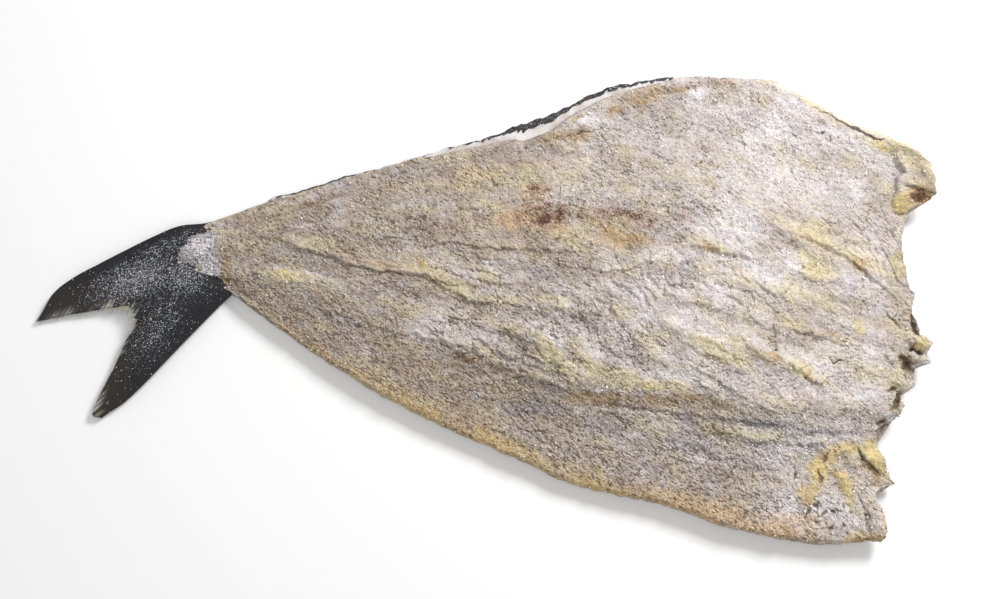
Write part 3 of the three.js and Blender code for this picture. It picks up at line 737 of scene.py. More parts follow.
def beside(x, y, path, reach):
    """Points near a smooth path as (near, side, past, share).

    near picks the points within reach of the path's box, side is their distance to the path's left,
    past how far they lie beyond its ends, and share their place along it.
    """
    points = spline(path, np.linspace(0, 1, PATH_SAMPLES + 1))
    low, high = points.min(0) - reach, points.max(0) + reach
    near = np.nonzero((x > low[0]) & (x < high[0]) & (y > low[1]) & (y < high[1]))
    ways = np.gradient(points, axis=0)
    pace = np.hypot(*ways.T)
    ways = ways / pace[:, None]
    offset = np.stack([x[near], y[near]], -1)[:, None] - points
    nearest = (offset**2).sum(-1).argmin(1)
    dx, dy = offset[np.arange(len(nearest)), nearest].T
    side = ways[nearest, 0] * dy - ways[nearest, 1] * dx
    ahead = ways[nearest, 0] * dx + ways[nearest, 1] * dy
    past = np.maximum(np.abs(ahead) - pace[nearest], 0)
    share = np.clip((nearest + np.clip(ahead / pace[nearest], -0.5, 0.5)) / PATH_SAMPLES, 0, 1)
    return near, side, past, share


def tapered(share, power):
    """How a path fades towards its two ends: a half sine wave raised to a power."""
    return np.sin(np.pi * (0.02 + 0.96 * share)) ** power


def folds(x, y):
    """Folds as (height, crease, crest): a step at each path that eases off away from it, with a crease of
    painted shade below the step.

    Noise makes the paths wander and breaks the creases.
    """
    place = moved(x, y, MOVES["folds"])
    breaks = smooth(pattern("fold breaks", x, y) + 0.6 * pattern("fold nicks", x, y), -0.5, 0.3)
    height, crease, crest = (np.zeros(x.shape) for _ in range(3))
    rise, dip = FOLD["rise"], FOLD["dip"]
    for step, width, darkness, path in FOLDS:
        near, side, past, share = beside(*place, path, FOLD["reach"] * width)
        ends = tapered(share, FOLD["taper"])
        tip = (rise + dip) / 2 * np.tanh(side / FOLD["edge"]) + (rise - dip) / 2
        height[near] += step * ends * np.exp(-np.hypot(side, past) / width) * tip
        reach = ends * np.exp(-past / FOLD["fade"])
        line = darkness * reach * breaks[near] * hump(side - FOLD["crease_at"], FOLD["crease_width"])
        crease[near] = np.maximum(crease[near], line)
        lip = np.exp(-np.abs(side - FOLD["lip_at"]) / FOLD["lip_width"]) * (side > FOLD["lip_from"])
        crest[near] = np.maximum(crest[near], min(1, step / FOLD["full_step"]) * reach * lip)
    return height, crease, crest


def ridges(x, y):
    """Ridges as (height, crest, lit, foot): bumps along paths, with a painted highlight on the lit left side
    and a line of painted shade at the right foot.
    """
    place = moved(x, y, MOVES["ridges"])
    breaks = smooth(pattern("ridge breaks", x, y) + 0.6 * pattern("ridge nicks", x, y), -0.2, 0.5)
    height, crest, lit, foot = (np.zeros(x.shape) for _ in range(4))
    for rise, width, path in RIDGES:
        near, side, past, share = beside(*place, path, RIDGE["reach"] * width)
        ends = tapered(share, RIDGE["taper"]) * hump(past, width)
        height[near] += rise * ends * hump(side, width)
        crest[near] = np.maximum(crest[near], ends * hump(side + 0.2 * width, 0.8 * width))
        lit[near] = np.maximum(lit[near], ends * hump(side - 0.8 * width, 0.45 * width))
        line = ends * breaks[near] * hump(side + 1.1 * width, RIDGE["foot_width"])
        foot[near] = np.maximum(foot[near], line)
    return height, crest, lit, foot


def cracks(x, y):
    """Thin cracks along paths: their darkness in the middle, 0 past their width."""
    place = moved(x, y, MOVES["cracks"])
    depth = np.zeros(x.shape)
    for darkness, width, path in CRACKS:
        near, side, past, share = beside(*place, path, CRACK["reach"])
        line = darkness * tapered(share, CRACK["taper"]) * hump(np.hypot(side, past), width)
        depth[near] = np.maximum(depth[near], line)
    return depth


def layers(x, u, across):
    """Fine overlapping layers as (height, crack, crest): a saw-tooth across the grain.

    Each layer stands up steeply on its lower side and falls away slowly to the next, and noise
    bends, fades and breaks it.
    """
    lean = patches(x, across, [LAYER_LEAN]) * (x - LAYER_LEAN[0])
    place = (across + RIPPLE["slant"] * x + lean) / LAYER_PITCH
    for bend, run, width, seed in LAYER_BENDS:
        place = place + bend * noise(x / run, across / width, seed)
    rise = place - np.floor(place)
    patch = smooth(pattern("layer patches", x, across), -0.35, 0.6) * along(RIPPLE_GROWTH, u)
    patch = patch * rippled(x, across) * (0.6 + 0.4 * lattice(np.floor(place), 0, LAYER_SEED))
    height = smooth(rise, 0, 0.1) * (1 - rise) ** 1.2 * patch
    broken = smooth(pattern("layer breaks", x, across), -0.1, 0.45)
    crack = (smooth(rise, 0.88, 1) + smooth(-rise, -0.05, 0)) * patch * broken
    return height, crack, hump(rise - 0.2, 0.22) * patch


def flakes(x, across):
    """Torn flakes of muscle as (height, crack): stretched cells that slope down to the right.

    Each flake leans up towards its lower side, where it stands over the next with a crack.
    """
    bent_x, bent_y = moved(x, across, MOVES["flakes"])
    turn = FLAKE["turn"] + FLAKE["swing"] * pattern("flake turns", x, across)
    _, border, pick, over = cells(bent_x - turn * bent_y, bent_y + turn * bent_x, FLAKE)
    strength = rippled(x, across) * smooth(pattern("flake patches", x, across), -0.6, 0.5)
    height = strength * smooth(border, 0, 0.16) * (0.5 + 0.35 * pick - 0.9 * over)
    broken = smooth(pattern("flake breaks", x, across), -0.1, 0.5)
    crack = strength * smooth(-border, -0.09, -0.01) * smooth(over, 0, 0.2) * broken
    return height, crack


def crust(x, y, sizes):
    """The salty crust as (height, hollow, tone, crack): domed grains, each of its own height, on clods, with
    hollows between them that mark where shade is painted.

    Clods stand apart where the crust is clotted, and their borders crack where it is crazed.
    """
    run, rise = turned(x, y, 0, 0, SPECK_TURN)
    over, up = shifts(x, y, MOVES["grains"])
    grain, _, tone, _ = cells(run + over, rise + up, GRAIN)
    clod, border, _, _ = cells(run + over, rise + up, CLOD)
    clotted = 0.25 + 0.75 * patches(x, y, CLOTTED)
    rough = 0.55 + 0.45 * smooth(pattern("crust patches", x, y), -0.5, 0.5)
    height = sizes["grain_height"] * rough * (grain - 0.7) * (1 + 0.5 * tone)
    lump = clotted * (clod - 0.7) + 0.8 * rough * pattern("crust lumps", run, rise)
    height = height + sizes["clod_height"] * lump
    broken = smooth(pattern("craze breaks", x, y) + 0.4 * pattern("craze nicks", x, y), 0.05, 0.5)
    crazed = patches(x, y, CRAZED) * smooth(pattern("craze patches", x, y), -0.5, 0.4)
    crack = smooth(-border, -0.22, -0.04) * broken * crazed
    hollow = np.clip(1 - grain, 0, 1) + clotted * smooth(-border, -0.3, 0)
    return height, hollow, tone, crack


def mesh_piece(name, points, faces, material, flat_faces=0):
    """A finished piece from points in millimetres and lists of faces, riding on the fish's body.

    The last flat_faces of them are shaded flat, so that a cut end doesn't bend its neighbours' normals.
    """
    mesh = bpy.data.meshes.new(name)
    mesh.from_pydata(points * MM, [], faces, shade_flat=False)
    if flat_faces:
        flags = np.arange(len(faces)) >= len(faces) - flat_faces
        mesh.attributes.new("sharp_face", "BOOLEAN", "FACE").data.foreach_set("value", flags)
    mesh.update()
    piece = bpy.data.objects.new(name, mesh)
    bpy.context.scene.collection.objects.link(piece)
    mesh.materials.append(material)
    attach(piece, BODY)
    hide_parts(NODE)
    return piece


def paint(piece, **values):
    """Stores one number or vector for each point under each name, for the materials to read."""
    for name, value in values.items():
        value = np.ascontiguousarray(value, np.float32)
        vector = value.size == 3 * len(piece.data.vertices)
        attribute = piece.data.attributes.new(name, "FLOAT_VECTOR" if vector else "FLOAT", "POINT")
        attribute.data.foreach_set("vector" if vector else "value", value.ravel())


def ring_solid(top, bottom):
    """Points, faces and number of cap faces of a closed solid from a fine top grid and a coarse bottom one.

    Each station is a ring of the top row and the bottom row turned back, and both ends are capped.
    """
    stations, top_count = top.shape[0] - 1, top.shape[1] - 1
    bottom_count = bottom.shape[1] - 1
    ring = top_count + bottom_count + 2
    points = np.concatenate([top, bottom[:, ::-1]], axis=1).reshape(-1, 3)
    start = np.arange(stations)[:, None] * ring
    a = np.arange(ring)[None, :]
    b = (a + 1) % ring
    quads = np.stack([start + a, start + ring + a, start + ring + b, start + b], -1).reshape(-1, 4)
    strips = top_count // bottom_count
    j = np.arange(top_count)
    below = ring - 1 - j // strips
    fan = np.stack([j, j + 1, below], -1)
    step = (j % strips) == strips - 1
    cap = np.concatenate([fan, np.stack([j + 1, below - 1, below], -1)[step]])
    caps = np.concatenate([cap, cap[:, ::-1] + stations * ring])
    return points, quads.tolist() + caps.tolist(), len(caps)


def slab(top, bottom):
    """Points and faces of a closed plate between two grids of the same size."""
    rows, columns = top.shape[:2]
    layer = rows * columns
    index = np.arange(layer).reshape(rows, columns)
    a, b = index[:-1, :-1], index[1:, :-1]
    c, d = index[1:, 1:], index[:-1, 1:]
    upper = np.stack([a, b, c, d], -1).reshape(-1, 4)
    rim = np.concatenate([index[:-1, 0], index[-1, :-1], index[:0:-1, -1], index[0, :0:-1]])
    ahead = np.roll(rim, -1)
    sides = np.stack([rim + layer, ahead + layer, ahead, rim], -1)
    faces = np.concatenate([upper, upper[:, ::-1] + layer, sides])
    return np.concatenate([top.reshape(-1, 3), bottom.reshape(-1, 3)]), faces.tolist()


def strands(roots, ways, bends, half_widths, segments=5):
    """Points and faces of tapered four-sided strands: root plus way times t plus bend times t squared."""
    total = len(roots)
    t = np.linspace(0, 1, segments + 1)[None, :, None]
    middle = roots[:, None] + ways[:, None] * t + bends[:, None] * t**2
    side = np.cross(ways, (0.0, 0.0, 1.0))
    side = side / np.linalg.norm(side, axis=1, keepdims=True)
    taper = half_widths[:, None, None] * (1 - 0.85 * t)
    rise = np.array([0.0, 0.0, 0.6])
    ring = np.stack([side[:, None] * taper, -rise * taper, -side[:, None] * taper, rise * taper], 2)
    points = (middle[:, :, None] + ring).reshape(-1, 3)
    k, j = np.arange(segments)[:, None] * 4, np.arange(4)[None, :]
    ahead = (j + 1) % 4
    walls = np.stack([k + j, k + ahead, k + 4 + ahead, k + 4 + j], -1).reshape(-1, 4)
    one = np.concatenate([walls, [[3, 2, 1, 0]], np.array([[0, 1, 2, 3]]) + 4 * segments])
    faces = (np.arange(total)[:, None, None] * 4 * (segments + 1) + one[None]).reshape(-1, 4)
    return points, faces.tolist()


class Term:
    """A shader value that takes part in arithmetic by adding Math nodes."""

    def __init__(self, tree, socket):
        self.tree = tree
        self.socket = socket

    def maths(self, operation, *values, clamp=False):
        settings = {"operation": operation, "use_clamp": clamp}
        return node(self.tree, "ShaderNodeMath", settings, dict(enumerate(values)))

    def __add__(self, other):
        return self.maths("ADD", self, other)

    def __radd__(self, other):
        return self.maths("ADD", other, self)

    def __sub__(self, other):
        return self.maths("SUBTRACT", self, other)

    def __rsub__(self, other):
        return self.maths("SUBTRACT", other, self)

    def __mul__(self, other):
        return self.maths("MULTIPLY", self, other)

    def __rmul__(self, other):
        return self.maths("MULTIPLY", other, self)

    def clamped(self):
        return self.maths("ADD", self, 0, clamp=True)

    def step(self, low, high):
        """A smooth step from 0 at low to 1 at high."""
        settings = {"interpolation_type": "SMOOTHSTEP"}
        return node(self.tree, "ShaderNodeMapRange", settings, {0: self, 1: low, 2: high, 3: 0.0, 4: 1.0})


def node(tree, kind, settings=None, inputs=None, output=0):
    """Adds a node, sets its settings first and then its sockets' values or links."""
    made = tree.nodes.new(kind)
    for name, value in (settings or {}).items():
        setattr(made, name, value)
    for key, value in (inputs or {}).items():
        if isinstance(value, Term):
            tree.links.new(value.socket, made.inputs[key])
        else:
            made.inputs[key].default_value = value
    return Term(tree, made.outputs[output])


def opaque(rgb):
    """A colour with full alpha, or the term that gives one."""
    return rgb if isinstance(rgb, Term) else (*rgb, 1.0)


class Finish:
    """A material under construction: its tree, its shader and the patterns it reads."""

    def __init__(self, name):
        self.material = bpy.data.materials.new(name)
        self.material.use_nodes = True
        self.tree = self.material.node_tree
        self.shader = self.tree.nodes["Principled BSDF"]
        self.place = node(self.tree, "ShaderNodeTexCoord", output="Object")

    def attribute(self, name, output="Fac"):
        """A number stored on the piece's points, or with the output Vector a vector."""
        return node(self.tree, "ShaderNodeAttribute", {"attribute_name": name}, output=output)

    def bent(self, size_mm, reach_mm):
        """The place moved about by noise of a size, by up to about half of a reach."""
        values = {"Vector": self.place, "Scale": 1 / (size_mm * MM), "Detail": 1.0}
        wander = node(self.tree, "ShaderNodeTexNoise", None, values, "Color")
        reach = (reach_mm * MM,) * 3
        values = {0: wander, 1: reach, 2: self.place}
        return node(self.tree, "ShaderNodeVectorMath", {"operation": "MULTIPLY_ADD"}, values)

    def gaps(self, size_mm, share, place):
        """The gaps between cells of about size_mm: 1 on their borders, 0 past a share of a cell."""
        values = {"Vector": place, "Scale": 1 / (size_mm * MM)}
        settings = {"voronoi_dimensions": "2D", "feature": "DISTANCE_TO_EDGE"}
        edge = node(self.tree, "ShaderNodeTexVoronoi", settings, values, "Distance")
        return 1 - edge.step(0.0, share)

    def noise(self, size_mm, detail=3.0, stretch=1.0, place=None, shift=0.0, turn=0.0):
        """Noise from 0 to 1 with features about size_mm wide, stretched along the place's turned x axis."""
        size = size_mm * MM
        values = {"Vector": place or self.place, "Rotation": (0, 0, turn)}
        values["Scale"] = (size * stretch, size, size)
        values["Location"] = (-shift * size * stretch, -shift * size, -shift * size)
        mapped = node(self.tree, "ShaderNodeMapping", {"vector_type": "TEXTURE"}, values)
        values = {"Vector": mapped, "Scale": 1.0, "Detail": detail, "Roughness": 0.55}
        return node(self.tree, "ShaderNodeTexNoise", None, values, "Fac")

    def grains(self, size_mm):
        """Cells of about size_mm: the distance to a grain's middle."""
        values = {"Vector": self.place, "Scale": 1 / (size_mm * MM)}
        return node(self.tree, "ShaderNodeTexVoronoi", None, values, "Distance")

    def mix(self, factor, first, second):
        """A colour between two colours."""
        values = {0: factor, 6: opaque(first), 7: opaque(second)}
        settings = {"data_type": "RGBA", "clamp_factor": True}
        return node(self.tree, "ShaderNodeMix", settings, values, 2)

    def shade(self, first, amount):
        """A colour made lighter or darker by a number round 1."""
        grey = node(self.tree, "ShaderNodeCombineColor", None, {0: amount, 1: amount, 2: amount})
        settings = {"data_type": "RGBA", "blend_type": "MULTIPLY"}
        return node(self.tree, "ShaderNodeMix", settings, {0: 1.0, 6: opaque(first), 7: grey}, 2)

    def bump(self, height, depth_mm, strength=1.0):
        """Feeds a height from 0 to 1 to the shader's normal."""
        values = {"Height": height, "Distance": depth_mm * MM, "Strength": strength}
        self.feed("Normal", node(self.tree, "ShaderNodeBump", None, values))

    def feed(self, name, value):
        """Links a value to one of the shader's sockets, or sets it there."""
        if isinstance(value, Term):
            self.tree.links.new(value.socket, self.shader.inputs[name])
        else:
            self.shader.inputs[name].default_value = value


def flesh_tint(finish, colours):
    """Colour of the flesh: tan to salt-white mottling, whitened further by painted highlights, yellowed
    crests, slate hollows and stains.
    """
    flow = finish.attribute("flow", "Vector")
    broad = finish.noise(22, 2.0, 1.6, flow)
    patch = finish.noise(8, 3.0, 1.5, flow)
    stain = finish.noise(11, 3.0, 1.7, flow, 7.3)
    small = finish.noise(3.4, 2.0)
    bloom_and_highlight = finish.attribute("bloom_and_highlight")
    cover = bloom_and_highlight.clamped()
    white = bloom_and_highlight + (1.6 * (broad - 0.5) + 1.7 * (patch - 0.5)) * (1 - 0.6 * cover)
    tint = finish.mix(white.step(-0.6, 0.35), colours.tan, colours.cream)
    tint = finish.mix(white.step(0.1, 1.0), tint, colours.bloom_and_highlight)
    cool = finish.noise(9, 2.0, 1.4, flow, 15.7)
    tint = finish.mix(cool.step(0.5, 0.75) * 0.45, tint, colours.cool)
    yellow = finish.attribute("yellow") + 2.6 * (stain - 0.5) - 0.3 * cover
    tint = finish.mix(yellow.step(-0.25, 0.95) * 0.85, tint, colours.yellow)
    lemon = finish.attribute("lemon") + 1.1 * (patch - 0.5) + 0.7 * (small - 0.5)
    tint = finish.mix(lemon.step(0.2, 0.85) * 0.7, tint, colours.lemon)
    peach = finish.attribute("peach") * (0.2 + 1.6 * patch)
    tint = finish.mix(peach.step(0.1, 1.0) * 0.75, tint, colours.peach)
    slate = finish.attribute("slate") * (0.2 + 1.6 * broad)
    tint = finish.mix(slate.step(0.1, 1.0) * 0.8, tint, colours.slate)
    ochre = finish.attribute("ochre") * (0.1 + 1.8 * patch)
    tint = finish.mix(ochre.step(0.1, 1.0) * 0.85, tint, colours.ochre)
    frost = finish.attribute("frost")
    tint = finish.mix(frost.step(0.2, 0.7) * 0.8, tint, colours.frost)
    tint = finish.mix((frost + 2.2 * (small - 0.5)).step(0.5, 1.2) * 0.8, tint, colours.bloom_and_highlight)
    stained = finish.attribute("blood")
    tint = finish.mix(stained.step(0.1, 0.9) * 0.6, tint, colours.rust)
    blood = stained * (0.35 + 0.9 * small) + 2.4 * (finish.noise(1.1, 2.0) - 0.5)
    return finish.mix(blood.step(0.3, 0.8) * stained.step(0.1, 0.55), tint, colours.blood)


def flesh_finish(colours):
    """Dried flesh: its mottled colour, with painted shade between the crust's grains, in its pits and in its
    cracks.
    """
    finish = Finish("dried_flesh")
    small = finish.noise(2.4, 2.0, 1.0, None, 3.1)
    fine = finish.noise(0.85, 2.0)
    patch = finish.noise(7, 2.0, 1.0, None, 5.7)
    dash = finish.noise(1.25, 2.0, 2.6, None, 9.1, math.radians(SPECK_TURN))
    speck = 1 - dash.step(0.33, 0.44)
    gap = finish.gaps(2.0, 0.22, finish.bent(1.8, 1.8)) * (3.0 * small - 0.9).clamped()
    coarse = finish.attribute("coarse")
    # Painted shade in the crust's pits and the gaps between its grains, as deep as the coarse value says,
    # mixed towards the specks colour.
    pits = 0.3 * (1 - fine.step(0.28, 0.62)) + 0.25 * gap + 0.3 * (1 - dash.step(0.38, 0.56))
    pits = (pits + (2.6 * patch - 0.75).clamped() * speck) * coarse
    # White flecks, partly white salt crumbs and partly painted highlights on the crust's bright tops.
    glint = finish.noise(1.15, 2.0, 1.0, None, 6.3).step(0.56, 0.7) * coarse
    # Darker with mid-scale tone noise and each grain's own tone, and painted shade in the hollows between
    # the crust's grains.
    tone_and_shade = 0.75 * (0.55 - small) + 0.3 * finish.attribute("hollow") - 0.12 * finish.attribute("tone")
    tint = finish.shade(flesh_tint(finish, colours), 1.15 - tone_and_shade)
    tint = finish.mix(glint.clamped() * 0.3, tint, colours.bloom_and_highlight)
    tint = finish.mix(pits.clamped() * 0.9, tint, colours.speck)
    # Painted shade in the cracks, the creases of folds, holes and tears, and at the shaded foot of ridges,
    # in the crevice colour.
    crack = finish.attribute("crack") * (0.5 + fine)
    tint = finish.mix(crack.step(0.15, 1.0) * 0.8, tint, colours.crevice)
    finish.feed("Base Color", tint)
    finish.feed("Roughness", (1.05 - 0.3 * fine).clamped())
    finish.feed("Specular IOR Level", 0.25)
    finish.bump(0.6 * fine + 0.4 * small - 0.7 * gap, 0.6, 0.9)
    return finish.material


def skin_finish(colours):
    """Dried skin: dark back, silver belly past a pale lateral line, pale inner face, fine scales."""
    finish = Finish("dried_skin")
    broad = finish.noise(18, 3.0)
    fine = finish.noise(1.6, 3.0)
    scale = finish.grains(2.6)
    belly = finish.attribute("belly") + 0.5 * (broad - 0.5)
    tint = finish.mix(belly.step(0.2, 0.9), colours.skin_dark, colours.skin_silver)
    tint = finish.mix(finish.attribute("line") * 0.7, tint, colours.skin_inner)
    inner = finish.mix((broad + 0.2 * fine).step(0.5, 0.9), colours.skin_inner, colours.tan)
    tint = finish.mix(finish.attribute("inner"), tint, inner)
    fringe = finish.attribute("fringe") * (0.5 + fine)
    tint = finish.mix(fringe.step(0.3, 0.6), tint, colours.skin_dark)
    tint = finish.shade(tint, 0.75 + 0.5 * fine)
    dust = finish.noise(1.0, 2.0, 1.0, None, 4.7).step(0.58, 0.66) * (2 * broad - 0.5).clamped()
    tint = finish.mix(dust * 0.7, tint, colours.salt)
    finish.feed("Base Color", tint)
    finish.feed("Roughness", (0.5 + 0.3 * fine).clamped())
    finish.feed("Specular IOR Level", 0.35)
    finish.bump(0.6 * (1 - scale) + 0.5 * fine, 0.35, 0.7)
    return finish.material


def fin_finish(colours):
    """Tail fin: charcoal rays, brown tips and a dusting of fine salt."""
    finish = Finish("tail_fin")
    broad = finish.noise(14, 3.0)
    small = finish.noise(4, 3.0)
    fine = finish.noise(0.7, 2.0)
    ray = finish.attribute("ray")
    tint = finish.shade(colours.fin_dark, 0.45 + 0.35 * ray + 0.6 * broad)
    tint = finish.mix(finish.attribute("tip") * (0.3 + broad), tint, colours.fin_brown)
    dust = finish.attribute("dust") * (0.25 + 1.5 * small)
    speck = (finish.noise(0.95, 2.0) + 0.05 * dust).step(0.58, 0.65)
    tint = finish.mix(dust.step(0.2, 1.2) * 0.1, tint, colours.frost)
    tint = finish.mix(speck * dust.step(0.0, 0.5) * (0.3 + 0.9 * small), tint, colours.frost)
    tint = finish.mix(finish.attribute("fray") * 0.85, tint, colours.fin_hair)
    finish.feed("Base Color", tint)
    finish.feed("Roughness", (0.6 + 0.25 * fine).clamped())
    finish.feed("Specular IOR Level", 0.3)
    finish.bump(0.5 * fine + 0.5 * speck, 0.4, 0.6)
    return finish.material


def hair_finish(colours):
    """Frayed ray ends and torn shreds: pale, streaked with the flesh's yellow."""
    finish = Finish("frayed_ends")
    streak = finish.noise(4, 3.0)
    tint = finish.mix(streak.step(0.5, 0.8), colours.fin_hair, colours.yellow)
    finish.feed("Base Color", finish.shade(tint, 0.6 + 0.6 * streak))
    finish.feed("Roughness", 0.85)
    return finish.material


def salt_finish(colours):
    """Salt grains: clouded, a little glossy, and stained by the flesh that they lie on."""
    finish = Finish("salt_grains")
    tint = finish.mix(finish.attribute("clear"), flesh_tint(finish, colours), colours.salt)
    finish.feed("Base Color", tint)
    finish.feed("Roughness", (0.3 + 0.4 * finish.noise(3, 2.0)).clamped())
    finish.feed("Specular IOR Level", 0.5)
    return finish.material


# Cuts that the flesh is made in, so that each has a fine grid, the grids' counts and rims,
# and the row below the torn neck edge.
CUTS = ("flesh_tail", "flesh_loin", "flesh_shoulder", "flesh_neck")
FLESH = {
    "stations": 232, "top": 400, "bottom": 10, "lower_margin": 0.6, "rim": 5.5, "lower_rim": 3.2,
    "ease": 9, "grit_ease": 3, "bed": 0.6, "film": 2.4, "least": 0.5, "inset": 3,
}
LIP = {"drop": 3.5, "inset": 0.4, "least": 0.4, "under": 0.2}
SKIN = {"stations": 240, "columns": 200, "end": 0.98, "low": -0.985, "stand": 0.8}
FIN = {"steps": 90, "rays": 240, "ray_count": 40, "fray": 3, "fork_at": 0.42, "fork_width": 0.2}

# Strands in millimetres: the hairs of the fin and the shreds of the neck.
HAIR = {
    "seed": 23, "depth": 0.8, "lengths": (2, 5), "in_fork": 6, "spread": 0.16, "overlap": 2,
    "half_widths": (0.12, 0.3),
}
SHRED = {"seed": 29, "depths": (0.5, 7), "lengths": (1, 3), "half_widths": (0.6, 1.6)}

# Salt: the fin's part of the grains and their edges, how few grains are large, how their shape and corners
# vary, and how far they stand out.
SALT = {
    "seed": 11, "fin_part": 10,
    "fin_edges": (0.25, 0.5), "rarity": 2.5, "shape": 0.35, "corners": 0.2, "lift": 0.05,
}
SALT_STAINS = ("bloom_and_highlight", "yellow", "lemon", "frost", "slate", "ochre", "peach", "blood", "flow")

# What the pieces that lie on the flesh and fin read: their top grids and painted values.
SURFACES = {}


def normals_of(grid):
    """Unit normals of a grid from the cross product of its two differences."""
    along_rows, along_columns = np.gradient(grid, axis=0), np.gradient(grid, axis=1)
    normal = np.cross(along_rows, along_columns)
    return normal / np.linalg.norm(normal, axis=-1, keepdims=True)


def even_stations(total):
    """Body shares at even steps along the line halfway between the two edges."""
    u = np.linspace(0, 1, EDGE_SAMPLES)
    middle = (spline(LOWER_EDGE, u) + spline(UPPER_EDGE, u)) / 2
    run = np.concatenate([[0], np.cumsum(np.linalg.norm(np.diff(middle, axis=0), axis=1))])
    return np.interp(np.linspace(0, run[-1], total + 1), run, u)


def flesh_plan():
    """Where the flesh's grid lies, as named arrays: stations from tail to neck, by places from below up.

    u and v are body shares, x and y the plan, across the place across the grain, down the share from the
    upper edge, edge the distance in from the margins, and inner that from where the thick flesh starts.
    """
    u = even_stations(FLESH["stations"] * len(CUTS))[:, None]
    w = np.linspace(-1, 1, FLESH["top"] + 1)[None, :]
    half_width = plan(u, np.zeros_like(u))[2]
    high = 1 - along(MARGIN, u) / half_width
    low = -1 + FLESH["lower_margin"] / half_width
    v = low + (high - low) * (w + 1) / 2
    u = np.broadcast_to(u, v.shape)
    x, y, half = plan(u, v)
    down = (1 - v) / 2
    torn = TAIL_TATTER["height"] * layered(down / TAIL_TATTER["pitch"], 0.5, TAIL_TATTER["seed"], 3)
    x = x + (along(TAIL_EDGE, down) + torn) * (1 - smooth(u, 0, TAIL_END))
    edge = np.minimum(high - v, v - low) * half
    inner = np.minimum((high - v) * half - along(STRIP, u), (v - low) * half)
    across = grain_lines(v, half)
    return SimpleNamespace(u=u, v=v, x=x, y=y, across=across, down=down, edge=edge, inner=inner)


def flesh_marks(at, sizes):
    """The folds, ridges, cracks, layers, crust, flakes, knobs, holes and tears of the flesh, by name."""
    x, y = at.x, at.y
    marks = SimpleNamespace(swell=ripples(x, at.u, at.across), thin_crack=cracks(x, y))
    marks.fold_height, marks.fold_crease, marks.fold_crest = folds(x, y)
    marks.ridge_height, marks.ridge_crest, marks.ridge_lit, marks.ridge_foot = ridges(x, y)
    marks.layer_height, marks.layer_crack, marks.layer_crest = layers(x, at.u, at.across)
    marks.grit, marks.hollow, marks.tone, marks.craze = crust(x, y, sizes)
    marks.flake_height, marks.flake_crack = flakes(x, at.across)
    ragged = moved(x, y, MOVES["knobs"])
    marks.knobs, marks.knob = bumps(*ragged, KNOBS)
    marks.holes, marks.hole = bumps(*ragged, HOLES)
    torn_zone = smooth(at.u, *TEAR["along"]) * hump(at.down - TEAR["down"], TEAR["half_width"])
    marks.tear = TEAR["strength"] * torn_zone * smooth(pattern("tears", x, y), 0.15, 0.8)
    marks.collar, marks.hood = bell(x, y, LUMPS), bell(x, y, EAR)
    marks.hooded = np.clip(EAR["cover"] * marks.hood, 0, 1)
    marks.rolled = hump(at.edge, ROLL["width"]) * (at.v > 0) * smooth(at.u, *ROLL["along"])
    marks.calm = (1 - 0.75 * marks.hooded) * (1 - 0.5 * marks.knob) * (1 - 0.7 * marks.rolled)
    return marks


def flesh_height(at, marks, sizes):
    """Height of the flesh over its bed: the thickness, rounded off at the margins, plus relief and crust."""
    x, y, u = at.x, at.y, at.u
    radius = np.where(at.v > 0, FLESH["rim"], FLESH["lower_rim"])
    rim = np.sqrt(1 - (1 - np.clip(at.inner / radius, 0, 1)) ** 2)
    ribs = RIBS["height"] * np.sin(2 * np.pi * (x + RIBS["slant"] * y) / RIBS["pitch"])
    lumps = LUMPS["height"] * pattern("collar lumps", x, y) + LUMPS["fine"] * pattern("collar grit", x, y)
    growth = along(RIPPLE_GROWTH, u) * (1 - 0.25 * smooth(u, 0.5, 0.7))
    cracked = marks.thin_crack + marks.layer_crack + marks.craze + 0.6 * marks.ridge_foot
    relief = (
        sizes["ripple_height"] * marks.swell
        + sizes["layer_height"] * marks.layer_height
        + sizes["flake_height"] * marks.flake_height * growth
        - sizes["crack_depth"] * cracked
        - sizes["tear_depth"] * marks.tear
        + (marks.fold_height + marks.ridge_height + marks.knobs - marks.holes)
        + ribs * patches(x, y, RIBS["spots"])
        + lumps * marks.collar
        + EAR["height"] * marks.hood
    )
    ease = 0.25 + 0.75 * smooth(at.edge, 0, FLESH["ease"])
    body = thickness(u, at.v) * rim + relief * ease * (0.2 + 0.8 * rim)
    grit = marks.grit * marks.calm * (0.4 + 0.6 * smooth(at.edge, 0, FLESH["grit_ease"]))
    return np.maximum(np.maximum(body, FLESH["film"]) + grit, FLESH["least"])


def blend(weights, fields):
    """The sum of the fields that are named, each times its weight."""
    return sum(weight * fields[name] for name, weight in weights.items())


